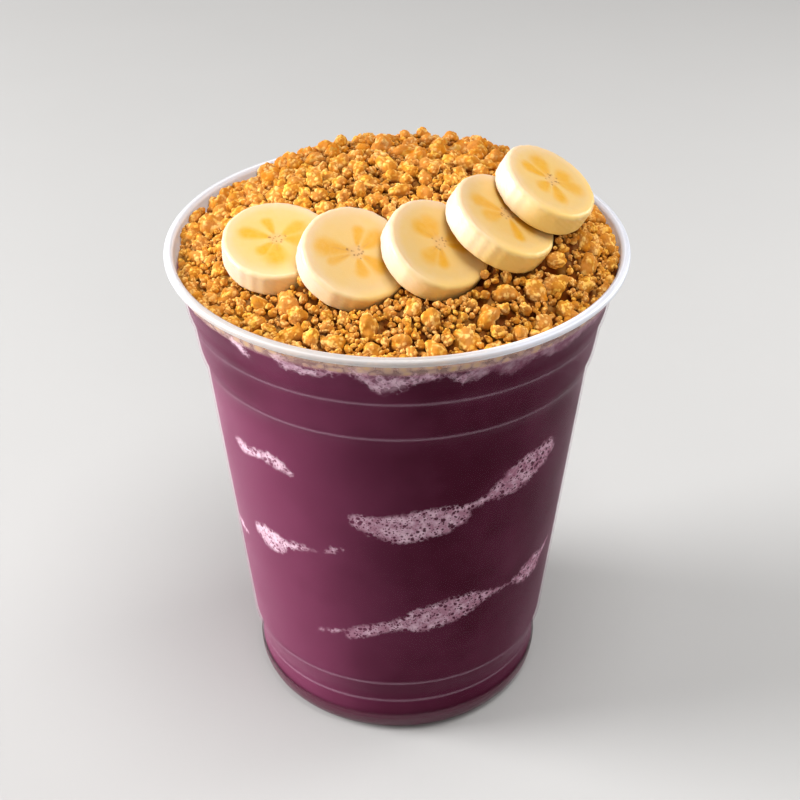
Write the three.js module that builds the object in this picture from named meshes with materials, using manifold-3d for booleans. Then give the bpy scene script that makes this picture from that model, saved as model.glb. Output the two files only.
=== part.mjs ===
// Acai bowl served in a tall clear cup: a ribbed plastic cup, frozen acai cream up to just
// under its rim, a heap of crumble on the cream, and five banana slices laid in a fan.
// Units are millimetres, +Z is up, and the origin is the centre of the cup's foot.
import * as THREE from 'three';
import { mergeVertices } from 'three/addons/utils/BufferGeometryUtils.js';
import Module from 'manifold-3d';

const wasm = await Module();
wasm.setup();

// ---- driving dimensions -------------------------------------------------------------
const CUP_HEIGHT = 132;        // foot to the top of the rim
const RIM_RADIUS = 58;         // outer edge of the rolled rim
const BEAD_WIDTH = 2.4;        // rolled rim, across
const BEAD_HEIGHT = 2.3;       // rolled rim, high
const WALL = 0.7;              // plastic wall
const FOOT_RADIUS = 36;        // outer edge of the flat foot ring
const FOOT_RING_WIDTH = 1.6;
const FOOT_RECESS = 2.2;       // how far the cup's base is raised inside the foot ring
const FOOT_SLOPE = 0.8;        // width of the slope from the foot ring up to the base
const FLOOR_CORNER = 1.6;      // the floor meets the wall this far in from the wall's foot
const CLEARANCE = 0.3;         // gap between pieces that touch
const FILL_DEPTH = 5.5;        // acai level below the top of the rim
const ROUND_STEPS = 48;        // facets round the cup and what fills it

const HEAP_HEIGHT = 16.2;      // top of the heap's core above the rim
const HEAP_EDGE_DEPTH = 3.4;   // core below the rim at the wall
const HEAP_PEAK_X = 10;
const HEAP_PEAK_Y = 12;
const HEAP_FULLNESS = 2.8;     // exponent: 1 is a cone, 2 a round dome, more is flatter on top
const HEAP_HOLLOW = 2.0;       // taken off the exponent in the direction below
const HEAP_HOLLOW_AIM = -130;  // compass direction, front left, where the heap falls straightest
const HEAP_RINGS = 8;
const HEAP_WAVE = 0.6;         // height of the low waves on the heap
const BANK_REACH = 0.75;       // share of a slice's radius that is banked up from below
const BANK_FALL = 0.16;        // how fast the bank falls off past that
const BED_REACH = 0.85;        // share of a slice's radius that lies on its bed
const BED_RISE = 1.4;          // how steeply the bed rises past that
const CRUMB_SEED = 41;

const SLICE_THICKNESS = 6.6;
const SLICE_BEVEL = 0.5;
const SLICE_SIDES = 30;
const SLICE_LOBES = { count: 3, share: 0.012 };    // the banana's three-sided cross-section
const SLICE_FACETS = { count: 10, share: 0.014 };  // flats where strips of peel came away

// Outer wall from the rim down: depth below the rim's top, and radius. Two ribs run round
// under the rim, a long straight taper follows, and a step leads down to the foot band.
const OUTER_WALL = [
  { depth: 2.9, radius: 56.2 },
  { depth: 11.0, radius: 53.95 },
  { depth: 13.2, radius: 53.75 },
  { depth: 17.0, radius: 52.45 },
  { depth: 25.2, radius: 51.3 },
  { depth: 29.0, radius: 50.0 },
  { depth: 31.8, radius: 49.6 },
  { depth: 110.0, radius: 41.4 },
  { depth: 112.2, radius: 41.2 },
  { depth: 118.0, radius: 39.6 },
  { depth: 120.5, radius: 39.2 },
  { depth: 126.0, radius: 39.6 },
];
// Depths at which the inside of the wall bends.
const INNER_DEPTHS = [3, 11, 17, 25.2, 29, 110, 116, 120.5, 126];

// The fan of slices, left to right: centre of the top face above the rim's top, outer
// radius, tilt from level, and the compass direction that the face leans to.
const SLICES = [
  { x: -28.6, y: -16.8, rise: 8.7, radius: 13.2, tilt: 15.6, lean: -81.6, turn: 20 },
  { x: -9.4, y: -27.1, rise: 10.5, radius: 13.0, tilt: 31.6, lean: -59.2, turn: 75 },
  { x: 10.0, y: -26.5, rise: 12.7, radius: 12.7, tilt: 32.2, lean: -44.4, turn: 140 },
  { x: 25.7, y: -20.3, rise: 17.0, radius: 13.2, tilt: 30.6, lean: -23.5, turn: 200 },
  { x: 36.5, y: -12.4, rise: 21.8, radius: 12.1, tilt: 29.7, lean: -23.9, turn: 265 },
];

// Crumbs by size, largest first: radius, how many places are tried, how finely the lump is
// faceted, and how many are kept at most.
const CRUMB_SIZES = [
  { radius: 3.9, tries: 100, detail: 1, keep: 3 },
  { radius: 3.4, tries: 500, detail: 0, keep: 34 },
  { radius: 2.9, tries: 2500, detail: 0, keep: 64 },
  { radius: 2.4, tries: 5000, detail: 0, keep: 40 },
];
const CRUMB_SPACING = 0.86;    // share of two radii that neighbouring crumbs keep apart
const CRUMB_LIFT = 0.22;       // centre of a crumb above the core, as a share of its radius
const CRUMB_CLEAR = 0.6;       // centre of a crumb from a slice, as a share of its radius
const CRUMB_REACH = 1.25;      // how far a crumb's knobs may reach, as a share of its radius

// ---- small tools --------------------------------------------------------------------
const radians = THREE.MathUtils.degToRad;
const rimTop = CUP_HEIGHT;

// A repeatable stream of random numbers from 0 to 1.
function makeRandom(seed) {
  let state = seed >>> 0;
  return () => {
    state = (state + 0x6d2b79f5) >>> 0;
    let mixed = Math.imul(state ^ (state >>> 15), state | 1);
    mixed ^= mixed + Math.imul(mixed ^ (mixed >>> 7), mixed | 61);
    return ((mixed ^ (mixed >>> 14)) >>> 0) / 4294967296;
  };
}

// Turns a closed three.js geometry into a solid, without its seams and zero-area faces.
function solidFrom(geometry) {
  const bare = geometry.clone();
  bare.deleteAttribute('normal');
  bare.deleteAttribute('uv');
  const merged = mergeVertices(bare, 1e-4);
  const corners = merged.index.array;
  const faces = [];
  for (let i = 0; i < corners.length; i += 3) {
    const [a, b, c] = [corners[i], corners[i + 1], corners[i + 2]];
    if (a !== b && b !== c && c !== a) faces.push(a, b, c);
  }
  const triVerts = Uint32Array.from(faces);
  const vertProperties = Float32Array.from(merged.attributes.position.array);
  const solid = new wasm.Manifold(new wasm.Mesh({ numProp: 3, vertProperties, triVerts }));
  if (solid.volume() > 0) return solid;
  for (let i = 0; i < triVerts.length; i += 3) {
    [triVerts[i + 1], triVerts[i + 2]] = [triVerts[i + 2], triVerts[i + 1]];
  }
  return new wasm.Manifold(new wasm.Mesh({ numProp: 3, vertProperties, triVerts }));
}

function geometryFrom(solid) {
  const mesh = solid.getMesh();
  const geometry = new THREE.BufferGeometry();
  const positions = Float32Array.from(mesh.vertProperties);
  geometry.setAttribute('position', new THREE.BufferAttribute(positions, 3));
  geometry.setIndex(new THREE.BufferAttribute(Uint32Array.from(mesh.triVerts), 1));
  geometry.computeVertexNormals();
  return geometry;
}

// Turns a profile of [radius, height] points round the Z axis.
function turned(profile) {
  const points = profile.map(([radius, height]) => new THREE.Vector2(radius, height));
  const lathe = new THREE.LatheGeometry(points, ROUND_STEPS);
  return solidFrom(lathe.rotateX(Math.PI / 2));
}

// Radius of the cup's outer wall at a depth below the rim's top.
function outerRadius(depth) {
  const below = OUTER_WALL.findIndex((station) => station.depth >= depth);
  if (below === 0) return OUTER_WALL[0].radius;
  if (below < 0) return OUTER_WALL.at(-1).radius;
  const [upper, lower] = [OUTER_WALL[below - 1], OUTER_WALL[below]];
  const share = (depth - upper.depth) / (lower.depth - upper.depth);
  return THREE.MathUtils.lerp(upper.radius, lower.radius, share);
}

const innerRadius = (depth) => outerRadius(depth) - WALL;

function named(name, geometry, colour, roughness, opacity = 1) {
  const material = new THREE.MeshStandardMaterial({ color: colour, roughness, metalness: 0 });
  material.transparent = opacity < 1;
  material.opacity = opacity;
  const mesh = new THREE.Mesh(geometry, material);
  mesh.name = name;
  return mesh;
}

// ---- cup ----------------------------------------------------------------------------
const floorTop = FOOT_RECESS + WALL;
const floorRadius = innerRadius(CUP_HEIGHT) - FLOOR_CORNER;

function cupSolid() {
  const profile = [
    [0, FOOT_RECESS],
    [FOOT_RADIUS - FOOT_RING_WIDTH - FOOT_SLOPE, FOOT_RECESS],
    [FOOT_RADIUS - FOOT_RING_WIDTH, 0],
    [FOOT_RADIUS, 0],
  ];
  // The foot rounds up into the wall along a quarter ellipse.
  const wallFoot = OUTER_WALL.at(-1);
  const roundWidth = wallFoot.radius - FOOT_RADIUS;
  const roundHeight = rimTop - wallFoot.depth;
  for (const angle of [30, 60]) {
    profile.push([
      FOOT_RADIUS + roundWidth * Math.sin(radians(angle)),
      roundHeight * (1 - Math.cos(radians(angle))),
    ]);
  }
  for (const { depth, radius } of [...OUTER_WALL].reverse()) profile.push([radius, rimTop - depth]);
  // The rolled rim is an ellipse, run from under its outside over the top to the inside.
  const beadCentre = RIM_RADIUS - BEAD_WIDTH / 2;
  for (const angle of [-45, 0, 45, 90, 135, 180]) {
    profile.push([
      beadCentre + (BEAD_WIDTH / 2) * Math.cos(radians(angle)),
      rimTop - BEAD_HEIGHT / 2 + (BEAD_HEIGHT / 2) * Math.sin(radians(angle)),
    ]);
  }
  for (const depth of INNER_DEPTHS) profile.push([innerRadius(depth), rimTop - depth]);
  profile.push([floorRadius, floorTop], [0, floorTop]);
  return turned(profile);
}

// ---- acai ---------------------------------------------------------------------------
function acaiSolid() {
  const profile = [[0, floorTop + CLEARANCE], [floorRadius - CLEARANCE, floorTop + CLEARANCE]];
  const wetted = INNER_DEPTHS.filter((depth) => depth > FILL_DEPTH).reverse();
  for (const depth of wetted) profile.push([innerRadius(depth) - CLEARANCE, rimTop - depth]);
  profile.push([innerRadius(FILL_DEPTH) - CLEARANCE, rimTop - FILL_DEPTH], [0, rimTop - FILL_DEPTH]);
  return turned(profile);
}

// ---- banana slices ------------------------------------------------------------------
// Stands a shape made round the origin, top face up, at a slice's place and lean.
function placeSlice(geometry, slice) {
  const lean = radians(slice.lean);
  const tiltAxis = new THREE.Vector3(-Math.sin(lean), Math.cos(lean), 0);
  const turn = new THREE.Quaternion().setFromAxisAngle(new THREE.Vector3(0, 0, 1), radians(slice.turn));
  const tilt = new THREE.Quaternion().setFromAxisAngle(tiltAxis, radians(slice.tilt));
  geometry.applyQuaternion(tilt.multiply(turn));
  return geometry.translate(slice.x, slice.y, rimTop + slice.rise);
}

// A round slice with three faint lobes and small flats where the peel came away, and with
// softened edges. `margin` grows it all round, for the bed that the crumble makes for it.
function sliceSolid(slice, margin = 0) {
  const outline = new THREE.Shape();
  const size = slice.radius + margin;
  for (let step = 0; step < SLICE_SIDES; step += 1) {
    const angle = (step / SLICE_SIDES) * 2 * Math.PI;
    const lobes = SLICE_LOBES.share * Math.cos(SLICE_LOBES.count * angle);
    const facets = SLICE_FACETS.share * Math.cos(SLICE_FACETS.count * angle + 1);
    const reach = size * (1 + lobes + facets) - SLICE_BEVEL;
    const [x, y] = [reach * Math.cos(angle), reach * Math.sin(angle)];
    if (step === 0) outline.moveTo(x, y);
    else outline.lineTo(x, y);
  }
  outline.closePath();
  const depth = SLICE_THICKNESS + 2 * margin - 2 * SLICE_BEVEL;
  const body = new THREE.ExtrudeGeometry(outline, {
    depth,
    bevelEnabled: true,
    bevelThickness: SLICE_BEVEL,
    bevelSize: SLICE_BEVEL,
    bevelSegments: 1,
  });
  body.translate(0, 0, margin - depth - SLICE_BEVEL);
  return solidFrom(placeSlice(body, slice));
}

// The slice's top-face centre and normal, for measuring how far a point is from it.
function slicePlane(slice) {
  const lean = radians(slice.lean);
  const sine = Math.sin(radians(slice.tilt));
  return {
    centre: new THREE.Vector3(slice.x, slice.y, rimTop + slice.rise),
    normal: new THREE.Vector3(sine * Math.cos(lean), sine * Math.sin(lean), Math.cos(radians(slice.tilt))),
  };
}

// Distance from a point to the slice's round body, zero inside it.
function distanceToSlice(point, slice) {
  const { centre, normal } = slicePlane(slice);
  const offset = point.clone().sub(centre);
  const along = offset.dot(normal);
  const across = offset.addScaledVector(normal, -along).length();
  const widest = slice.radius * (1 + SLICE_LOBES.share + SLICE_FACETS.share);
  const overSide = Math.max(0, across - widest);
  const overFace = Math.max(0, along, -SLICE_THICKNESS - along);
  return Math.hypot(overSide, overFace);
}

// ---- crumble heap -------------------------------------------------------------------
// Height of a slice's underside over the rim's top at a point, and how far along the slice
// that point is from the middle of its underside.
function sliceUnderside(slice, x, y) {
  const { centre, normal } = slicePlane(slice);
  const [dx, dy] = [x - centre.x + SLICE_THICKNESS * normal.x, y - centre.y + SLICE_THICKNESS * normal.y];
  const drop = (normal.x * dx + normal.y * dy) / normal.z;
  return { height: slice.rise - SLICE_THICKNESS * normal.z - drop, reach: Math.hypot(dx, dy, drop) };
}

// Height of the bare heap over the rim's top: a mound that falls from its peak to the wall,
// straighter at the front left than elsewhere, with low waves. It is banked up under each
// slice, and lies no more than a little above a slice's underside at the slice's edge.
function heapHeight(x, y) {
  const edge = innerRadius(HEAP_EDGE_DEPTH) - CLEARANCE;
  const [fromPeakX, fromPeakY] = [x - HEAP_PEAK_X, y - HEAP_PEAK_Y];
  const fromPeak = Math.max(1e-6, Math.hypot(fromPeakX, fromPeakY));
  const [aimX, aimY] = [fromPeakX / fromPeak, fromPeakY / fromPeak];
  const along = HEAP_PEAK_X * aimX + HEAP_PEAK_Y * aimY;
  const toWall = Math.sqrt(along ** 2 + edge ** 2 - HEAP_PEAK_X ** 2 - HEAP_PEAK_Y ** 2) - along;
  const share = Math.min(1, fromPeak / toWall);
  const hollowAim = radians(HEAP_HOLLOW_AIM);
  const facing = (1 + aimX * Math.cos(hollowAim) + aimY * Math.sin(hollowAim)) / 2;
  const fall = share ** (HEAP_FULLNESS - HEAP_HOLLOW * facing ** 3);
  const waves = HEAP_WAVE * (1 - share) * (Math.sin(x / 6.1 + 1) * Math.cos(y / 7.3) + Math.sin((x + y) / 9.7));
  let height = -HEAP_EDGE_DEPTH + (HEAP_HEIGHT + HEAP_EDGE_DEPTH) * (1 - fall) + waves;
  const undersides = SLICES.map((slice) => ({ slice, ...sliceUnderside(slice, x, y) }));
  for (const { slice, height: under, reach } of undersides) {
    const past = Math.max(0, reach - slice.radius * BANK_REACH);
    height = Math.max(height, under - 2 * CLEARANCE - BANK_FALL * past ** 2);
  }
  for (const { slice, height: under, reach } of undersides) {
    const past = Math.max(0, reach - slice.radius * BED_REACH);
    height = Math.min(height, under - 2 * CLEARANCE + BED_RISE * past);
  }
  return height;
}

// The core is a closed shell on a round grid: rings of the height above, down to the cream.
function heapCore() {
  const floor = rimTop - FILL_DEPTH + CLEARANCE;
  const positions = [0, 0, rimTop + heapHeight(0, 0)];
  const edge = innerRadius(HEAP_EDGE_DEPTH) - CLEARANCE;
  const rings = Array.from({ length: HEAP_RINGS }, (_, ring) => (edge * (ring + 1)) / HEAP_RINGS);
  const corner = (ring, step) => 1 + ring * ROUND_STEPS + (step % ROUND_STEPS);
  for (const radius of rings) {
    for (let step = 0; step < ROUND_STEPS; step += 1) {
      const angle = (step / ROUND_STEPS) * 2 * Math.PI;
      const [x, y] = [radius * Math.cos(angle), radius * Math.sin(angle)];
      positions.push(x, y, rimTop + heapHeight(x, y));
    }
  }
  const footRadius = innerRadius(FILL_DEPTH) - CLEARANCE;
  for (let step = 0; step < ROUND_STEPS; step += 1) {
    const angle = (step / ROUND_STEPS) * 2 * Math.PI;
    positions.push(footRadius * Math.cos(angle), footRadius * Math.sin(angle), floor);
  }
  positions.push(0, 0, floor);
  const last = positions.length / 3 - 1;
  const faces = [];
  for (let step = 0; step < ROUND_STEPS; step += 1) {
    faces.push(0, corner(0, step), corner(0, step + 1));
    for (let ring = 0; ring < HEAP_RINGS; ring += 1) {
      const [a, b] = [corner(ring, step), corner(ring, step + 1)];
      const [c, d] = [corner(ring + 1, step), corner(ring + 1, step + 1)];
      faces.push(a, c, b, b, c, d);
    }
    faces.push(last, corner(HEAP_RINGS, step + 1), corner(HEAP_RINGS, step));
  }
  const geometry = new THREE.BufferGeometry();
  geometry.setAttribute('position', new THREE.Float32BufferAttribute(positions, 3));
  geometry.setIndex(faces);
  return solidFrom(geometry);
}

// One lump: an icosahedron whose corners are pulled in and out, squashed a little.
function crumbSolid(crumb, random) {
  const lump = new THREE.IcosahedronGeometry(1, crumb.detail);
  lump.deleteAttribute('normal');
  lump.deleteAttribute('uv');
  const body = mergeVertices(lump, 1e-4);
  const place = body.attributes.position;
  const corner = new THREE.Vector3();
  for (let i = 0; i < place.count; i += 1) {
    corner.fromBufferAttribute(place, i).multiplyScalar(0.86 + 0.26 * random());
    place.setXYZ(i, corner.x, corner.y, corner.z);
  }
  const spin = new THREE.Euler(random() * 6, random() * 6, random() * 6);
  body.applyQuaternion(new THREE.Quaternion().setFromEuler(spin));
  body.scale(crumb.radius * 1.06, crumb.radius * 1.06, crumb.radius * 0.92);
  return solidFrom(body.translate(crumb.x, crumb.y, crumb.z));
}

// Scatters crumbs over the core, largest first, clear of the wall, the slices and each other.
function scatterCrumbs(random) {
  const crumbs = [];
  for (const size of CRUMB_SIZES) {
    let kept = 0;
    for (let attempt = 0; attempt < size.tries && kept < size.keep; attempt += 1) {
      const radius = size.radius * (0.9 + 0.2 * random());
      const reach = innerRadius(0) - CLEARANCE - radius * CRUMB_REACH;
      const fromAxis = reach * Math.sqrt(random());
      const angle = 2 * Math.PI * random();
      const [x, y] = [fromAxis * Math.cos(angle), fromAxis * Math.sin(angle)];
      const z = rimTop + heapHeight(x, y) + CRUMB_LIFT * radius;
      const centre = new THREE.Vector3(x, y, z);
      const clearOfSlices = SLICES.every((slice) => distanceToSlice(centre, slice) > radius * CRUMB_CLEAR);
      const apart = crumbs.every((other) => (
        Math.hypot(other.x - x, other.y - y, other.z - z) > CRUMB_SPACING * (other.radius + radius)
      ));
      if (!clearOfSlices || !apart) continue;
      crumbs.push({ x, y, z, radius, detail: size.detail });
      kept += 1;
    }
  }
  return crumbs;
}

function heapSolid() {
  const random = makeRandom(CRUMB_SEED);
  let heap = heapCore();
  for (const crumb of scatterCrumbs(random)) heap = heap.add(crumbSolid(crumb, random));
  for (const slice of SLICES) heap = heap.subtract(sliceSolid(slice, CLEARANCE));
  // Only the one large body is kept: scraps fall away and closed hollows inside are filled.
  const bodies = heap.decompose().sort((a, b) => b.volume() - a.volume());
  return bodies[0];
}

// ---- the whole ----------------------------------------------------------------------
const bowl = new THREE.Group();
bowl.add(named('cup', geometryFrom(cupSolid()), 0xe6dfe3, 0.25, 0.4));
bowl.add(named('acai', geometryFrom(acaiSolid()), 0x4c1f33, 0.6));
bowl.add(named('crumb_heap', geometryFrom(heapSolid()), 0xc98a45, 0.9));
SLICES.forEach((slice, index) => {
  const name = `banana_slice_${index + 1}`;
  bowl.add(named(name, geometryFrom(sliceSolid(slice)), 0xf4e0a4, 0.5));
});

export default bowl;
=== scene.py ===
"""Acai in a tall clear cup, topped with crumble and a fan of banana slices.

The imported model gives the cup, the cream, the crumble heap and the five slices their size
and place. This script makes what is seen of each: a clear ribbed shell, cream streaked with
foam, a heap of separate crumbs and cut banana. Shapes are worked out in millimetres in the
frame's own axes, with Z up, and become metres when a mesh is made.
"""

import math

import bmesh
import bpy
import numpy as np
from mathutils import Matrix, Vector


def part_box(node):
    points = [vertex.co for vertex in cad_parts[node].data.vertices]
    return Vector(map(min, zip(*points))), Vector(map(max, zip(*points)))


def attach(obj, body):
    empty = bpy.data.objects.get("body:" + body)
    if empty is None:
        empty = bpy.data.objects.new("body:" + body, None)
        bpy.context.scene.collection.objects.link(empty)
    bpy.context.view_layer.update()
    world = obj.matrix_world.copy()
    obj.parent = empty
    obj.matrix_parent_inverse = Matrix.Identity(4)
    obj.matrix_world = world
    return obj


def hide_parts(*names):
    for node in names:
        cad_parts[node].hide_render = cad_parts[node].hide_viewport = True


bl_info = {
    "name": "Acai Cup",
    "version": (1, 0, 0),
    "blender": (4, 5, 0),
    "location": "3D Viewport > Sidebar > Acai Cup",
    "description": "Makes a clear cup of acai cream with crumble and banana slices",
    "category": "Add Mesh",
}

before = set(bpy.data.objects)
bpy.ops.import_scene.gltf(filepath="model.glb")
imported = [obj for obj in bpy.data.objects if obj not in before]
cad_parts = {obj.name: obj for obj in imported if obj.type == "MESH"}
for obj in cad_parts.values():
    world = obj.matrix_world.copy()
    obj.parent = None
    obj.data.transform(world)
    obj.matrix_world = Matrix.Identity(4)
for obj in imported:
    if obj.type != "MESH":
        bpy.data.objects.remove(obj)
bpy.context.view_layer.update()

MM = 0.001                     # one millimetre in metres
CUP_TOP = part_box("cup")[1]
RIM_TOP = CUP_TOP.z / MM       # height of the rim's top
RIM_RADIUS = CUP_TOP.x / MM    # outer edge of the rolled rim

# ---- cup: sizes that the solids share ------------------------------------------------
BEAD_WIDTH = 2.4
BEAD_HEIGHT = 2.3
FOOT_RADIUS = 36.0
FOOT_RING_WIDTH = 1.6
FOOT_RECESS = 2.2
FOOT_SLOPE = 0.8
FLOOR_CORNER = 1.6
CLEARANCE = 0.3
# The outer wall from the rim down: depth below the rim's top, and radius.
OUTER_WALL = (
    (2.9, 56.2), (11.0, 53.95), (13.2, 53.75), (17.0, 52.45), (25.2, 51.3), (29.0, 50.0),
    (31.8, 49.6), (110.0, 41.4), (112.2, 41.2), (118.0, 39.6), (120.5, 39.2), (126.0, 39.6),
)
WALL_SOFTNESS = 0.9            # how far the wall's bends are rounded
# Fine raised lines round the wall: depth, how far they stand out, and half their width.
RIB_LINES = (
    (14.9, 0.14, 0.5), (26.1, 0.14, 0.5), (112.3, 0.1, 0.5), (120.2, 0.1, 0.5), (125.4, 0.04, 0.4),
)

# ---- heap: sizes that the solids share -----------------------------------------------
HEAP_HEIGHT = 16.2             # the peak over the rim's top
HEAP_EDGE_DEPTH = 3.4          # the edge below the rim's top
HEAP_PEAK = (10.0, 12.0)
HEAP_FULLNESS = 2.8            # power of the fall from peak to wall: a larger one is fuller
HEAP_HOLLOW = 2.0              # how much smaller that power is on the hollow side
HEAP_HOLLOW_AIM = math.radians(-130)
HEAP_WAVE = 0.6
# Up to the first share of a slice's radius the heap is banked up to the slice, and falls away
# beyond it. Up to the second it may not rise over the slice's underside, and beyond it only
# so steeply.
BANK_REACH = 0.75
BANK_FALL = 0.16
BED_REACH = 0.85
BED_RISE = 1.4
# The level that the crumbs are dropped to is lower than the bare heap by this much where the
# heap is highest, from and to these heights, and has a low bulge at the back left.
PEAK_DROP = 4.0
PEAK_HEIGHTS = (8.5, 15.0)
BULGE = {"x": -30.0, "y": 28.0, "reach": 9.0, "rise": 1.3}
# Around a slice the level isn't lowered: from and to these shares of the slice's radius.
CARRIED_REACH = (0.85, 1.3)

# ---- banana slices: places that the solids share -------------------------------------
# Centre of the top face, its rise above the rim's top, radius, tilt from level, the compass
# direction it leans to and how far the slice is turned in its own plane.
SLICES = (
    {"x": -28.6, "y": -16.8, "rise": 8.7, "radius": 13.2, "tilt": 15.6, "lean": -81.6, "turn": 20},
    {"x": -9.4, "y": -27.1, "rise": 10.5, "radius": 13.0, "tilt": 31.6, "lean": -59.2, "turn": 75},
    {"x": 10.0, "y": -26.5, "rise": 12.7, "radius": 12.7, "tilt": 32.2, "lean": -44.4, "turn": 140},
    {"x": 25.7, "y": -20.3, "rise": 17.0, "radius": 13.2, "tilt": 30.6, "lean": -23.5, "turn": 200},
    {"x": 36.5, "y": -12.4, "rise": 21.8, "radius": 12.1, "tilt": 29.7, "lean": -23.9, "turn": 265},
)

# ---- foam in the cream ---------------------------------------------------------------
# Streaks of foam against the wall: points of compass direction in degrees, height above the
# foot and half the streak's width.
FRONT_STREAKS = (
    ((-147, 89, 0.8), (-144.5, 88.4, 2.0), (-140, 88.4, 1.4), (-135.5, 89.6, 1.2), (-131, 90.4, 2.0),
     (-127, 89.8, 2.0), (-123, 88.6, 0.7)),
    ((-104, 78.4, 0.8), (-101.5, 77.8, 2.4), (-97, 76.9, 3.4), (-89, 76, 5.0), (-81, 77.4, 4.9),
     (-76, 78, 4.6), (-71.5, 78.4, 3.4), (-69.5, 78.6, 1.6)),
    ((-75, 80.8, 1.4), (-67, 81, 1.1), (-61.5, 82.4, 1.4), (-57.5, 83.6, 2.9), (-52.8, 84.8, 4.5),
     (-46.5, 86.6, 4.8), (-41.5, 87.8, 4.2), (-38.5, 88.6, 2.9), (-36.8, 89.4, 1.2)),
    ((-142, 61, 2.4), (-138, 60.8, 3.8), (-133.5, 61.2, 3.6), (-129, 62.4, 1.3), (-122, 63.8, 1.0),
     (-117.5, 64.6, 0.4)),
    ((-113.5, 65.4, 0.3), (-110.5, 66.6, 1.3), (-107, 67.4, 0.4)),
    ((-119, 35.4, 0.3), (-114, 36.4, 0.7), (-109, 38, 0.3)),
    ((-107.5, 36.4, 1.2), (-103, 38.4, 2.3), (-97.5, 40.4, 1.9), (-91, 41.6, 1.7), (-86.5, 42.8, 2.6),
     (-82, 43.6, 4.3), (-72, 45.4, 4.6), (-64.5, 46.8, 3.8), (-60, 47, 2.2), (-55, 47.4, 0.8),
     (-49, 47, 0.5), (-44, 47, 1.4), (-40, 47, 3.2), (-34.5, 47.4, 3.9), (-30.5, 48.6, 1.5),
     (-24, 51, 0.5)),
    ((-135, 126.8, 1.2), (-132, 124.9, 1.8), (-130, 123.4, 1.0)),
    ((-120, 127.2, 1.6), (-117.5, 125, 1.8), (-113, 124.4, 1.3), (-109, 124.6, 1.2), (-105, 126, 1.0)),
    ((-100, 127, 1.6), (-97, 125.4, 2.4), (-94, 123.6, 2.8), (-92, 122.6, 2.8), (-89, 123.6, 2.6),
     (-85, 125.4, 1.8), (-80, 125.6, 1.2)),
    ((-77, 125.4, 0.8), (-73.5, 123.8, 1.6), (-70.5, 124.8, 2.2), (-66, 125.8, 1.6)),
    ((-65, 125.6, 2.0), (-61, 124.2, 2.6), (-57, 125.4, 2.6), (-53, 126.2, 1.6)),
    ((-52, 125.6, 2.0), (-48, 124.6, 2.4), (-42, 124.8, 2.4), (-36, 125.2, 1.6), (-28, 124.4, 1.8),
     (-20, 125.6, 1.0)),
    ((-167, 53, 0.5), (-160, 54, 1.4), (-154, 54, 0.6)),
)
# The back has the same streaks, turned by so many degrees and, below the neck, lowered.
BACK_TURN = 172
BACK_DROP = 6
NECK_HEIGHT = 110
FOAM_STREAKS = FRONT_STREAKS + tuple(
    tuple((angle + BACK_TURN, height - BACK_DROP * (height <= NECK_HEIGHT), width)
          for angle, height, width in streak)
    for streak in FRONT_STREAKS[:-1]
)

# ---- what crumbs are made of ---------------------------------------------------------
# Kinds of crumb, largest first: radius from and to, how finely a lump is meshed, how many
# knobs it has and their radius as a share of the lump's, how much closer than touching the
# lumps lie, how far a lump's top lies above the core where it rests on the core alone, the
# highest that it may lie, and what is added to these heights at the back of the heap.
CRUMB_KINDS = {
    "largest": {"radius": (3.0, 3.9), "mesh": 4, "knobs": 110, "knob": (0.08, 0.19),
                "closeness": 0.95, "top": (1.4, 2.6), "limit": 3.0, "back": -0.3},
    "large": {"radius": (2.4, 3.0), "mesh": 4, "knobs": 90, "knob": (0.1, 0.22),
              "closeness": 0.93, "top": (1.0, 2.3), "limit": 2.7, "back": -0.2},
    "middling": {"radius": (1.8, 2.4), "mesh": 4, "knobs": 60, "knob": (0.13, 0.27),
                 "closeness": 0.9, "top": (0.6, 1.9), "limit": 2.3, "back": -0.4},
    "medium": {"radius": (1.4, 1.8), "mesh": 4, "knobs": 40, "knob": (0.17, 0.32),
               "closeness": 0.88, "top": (0.3, 1.5), "limit": 2.0, "back": -0.6},
    "little": {"radius": (1.0, 1.4), "mesh": 3, "knobs": 24, "knob": (0.2, 0.38),
               "closeness": 0.85, "top": (0.0, 1.0), "limit": 1.5, "back": -1.0},
    "small": {"radius": (0.6, 1.0), "mesh": 2, "knobs": 12, "knob": (0.28, 0.5),
              "closeness": 0.8, "top": (-1.3, 0.4), "limit": 1.0, "back": -1.3},
    "fine": {"radius": (0.3, 0.55), "mesh": 2, "knobs": 7, "knob": (0.35, 0.6),
             "closeness": 0.8, "top": (-1.8, 0.1), "limit": 0.9, "back": -1.3},
}
GRIT = 0.05                   # unevenness from point to point, as a share of the radius
# The back of the heap has more of the lumps from this radius on: this share of those that
# would fall on the front falls there instead.
LUMP_RADIUS = 2.4
MOVED_SHARE = 0.3
LEAST_REACH = 0.68            # least distance from a lump's middle to its outside
SLICE_GAP = 0.68              # how near a crumb's middle may be to a slice, in its own radii
WALL_GAP = 0.9                # and to the wall
CORE_DROP = 2.8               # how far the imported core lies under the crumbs' level
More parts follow.
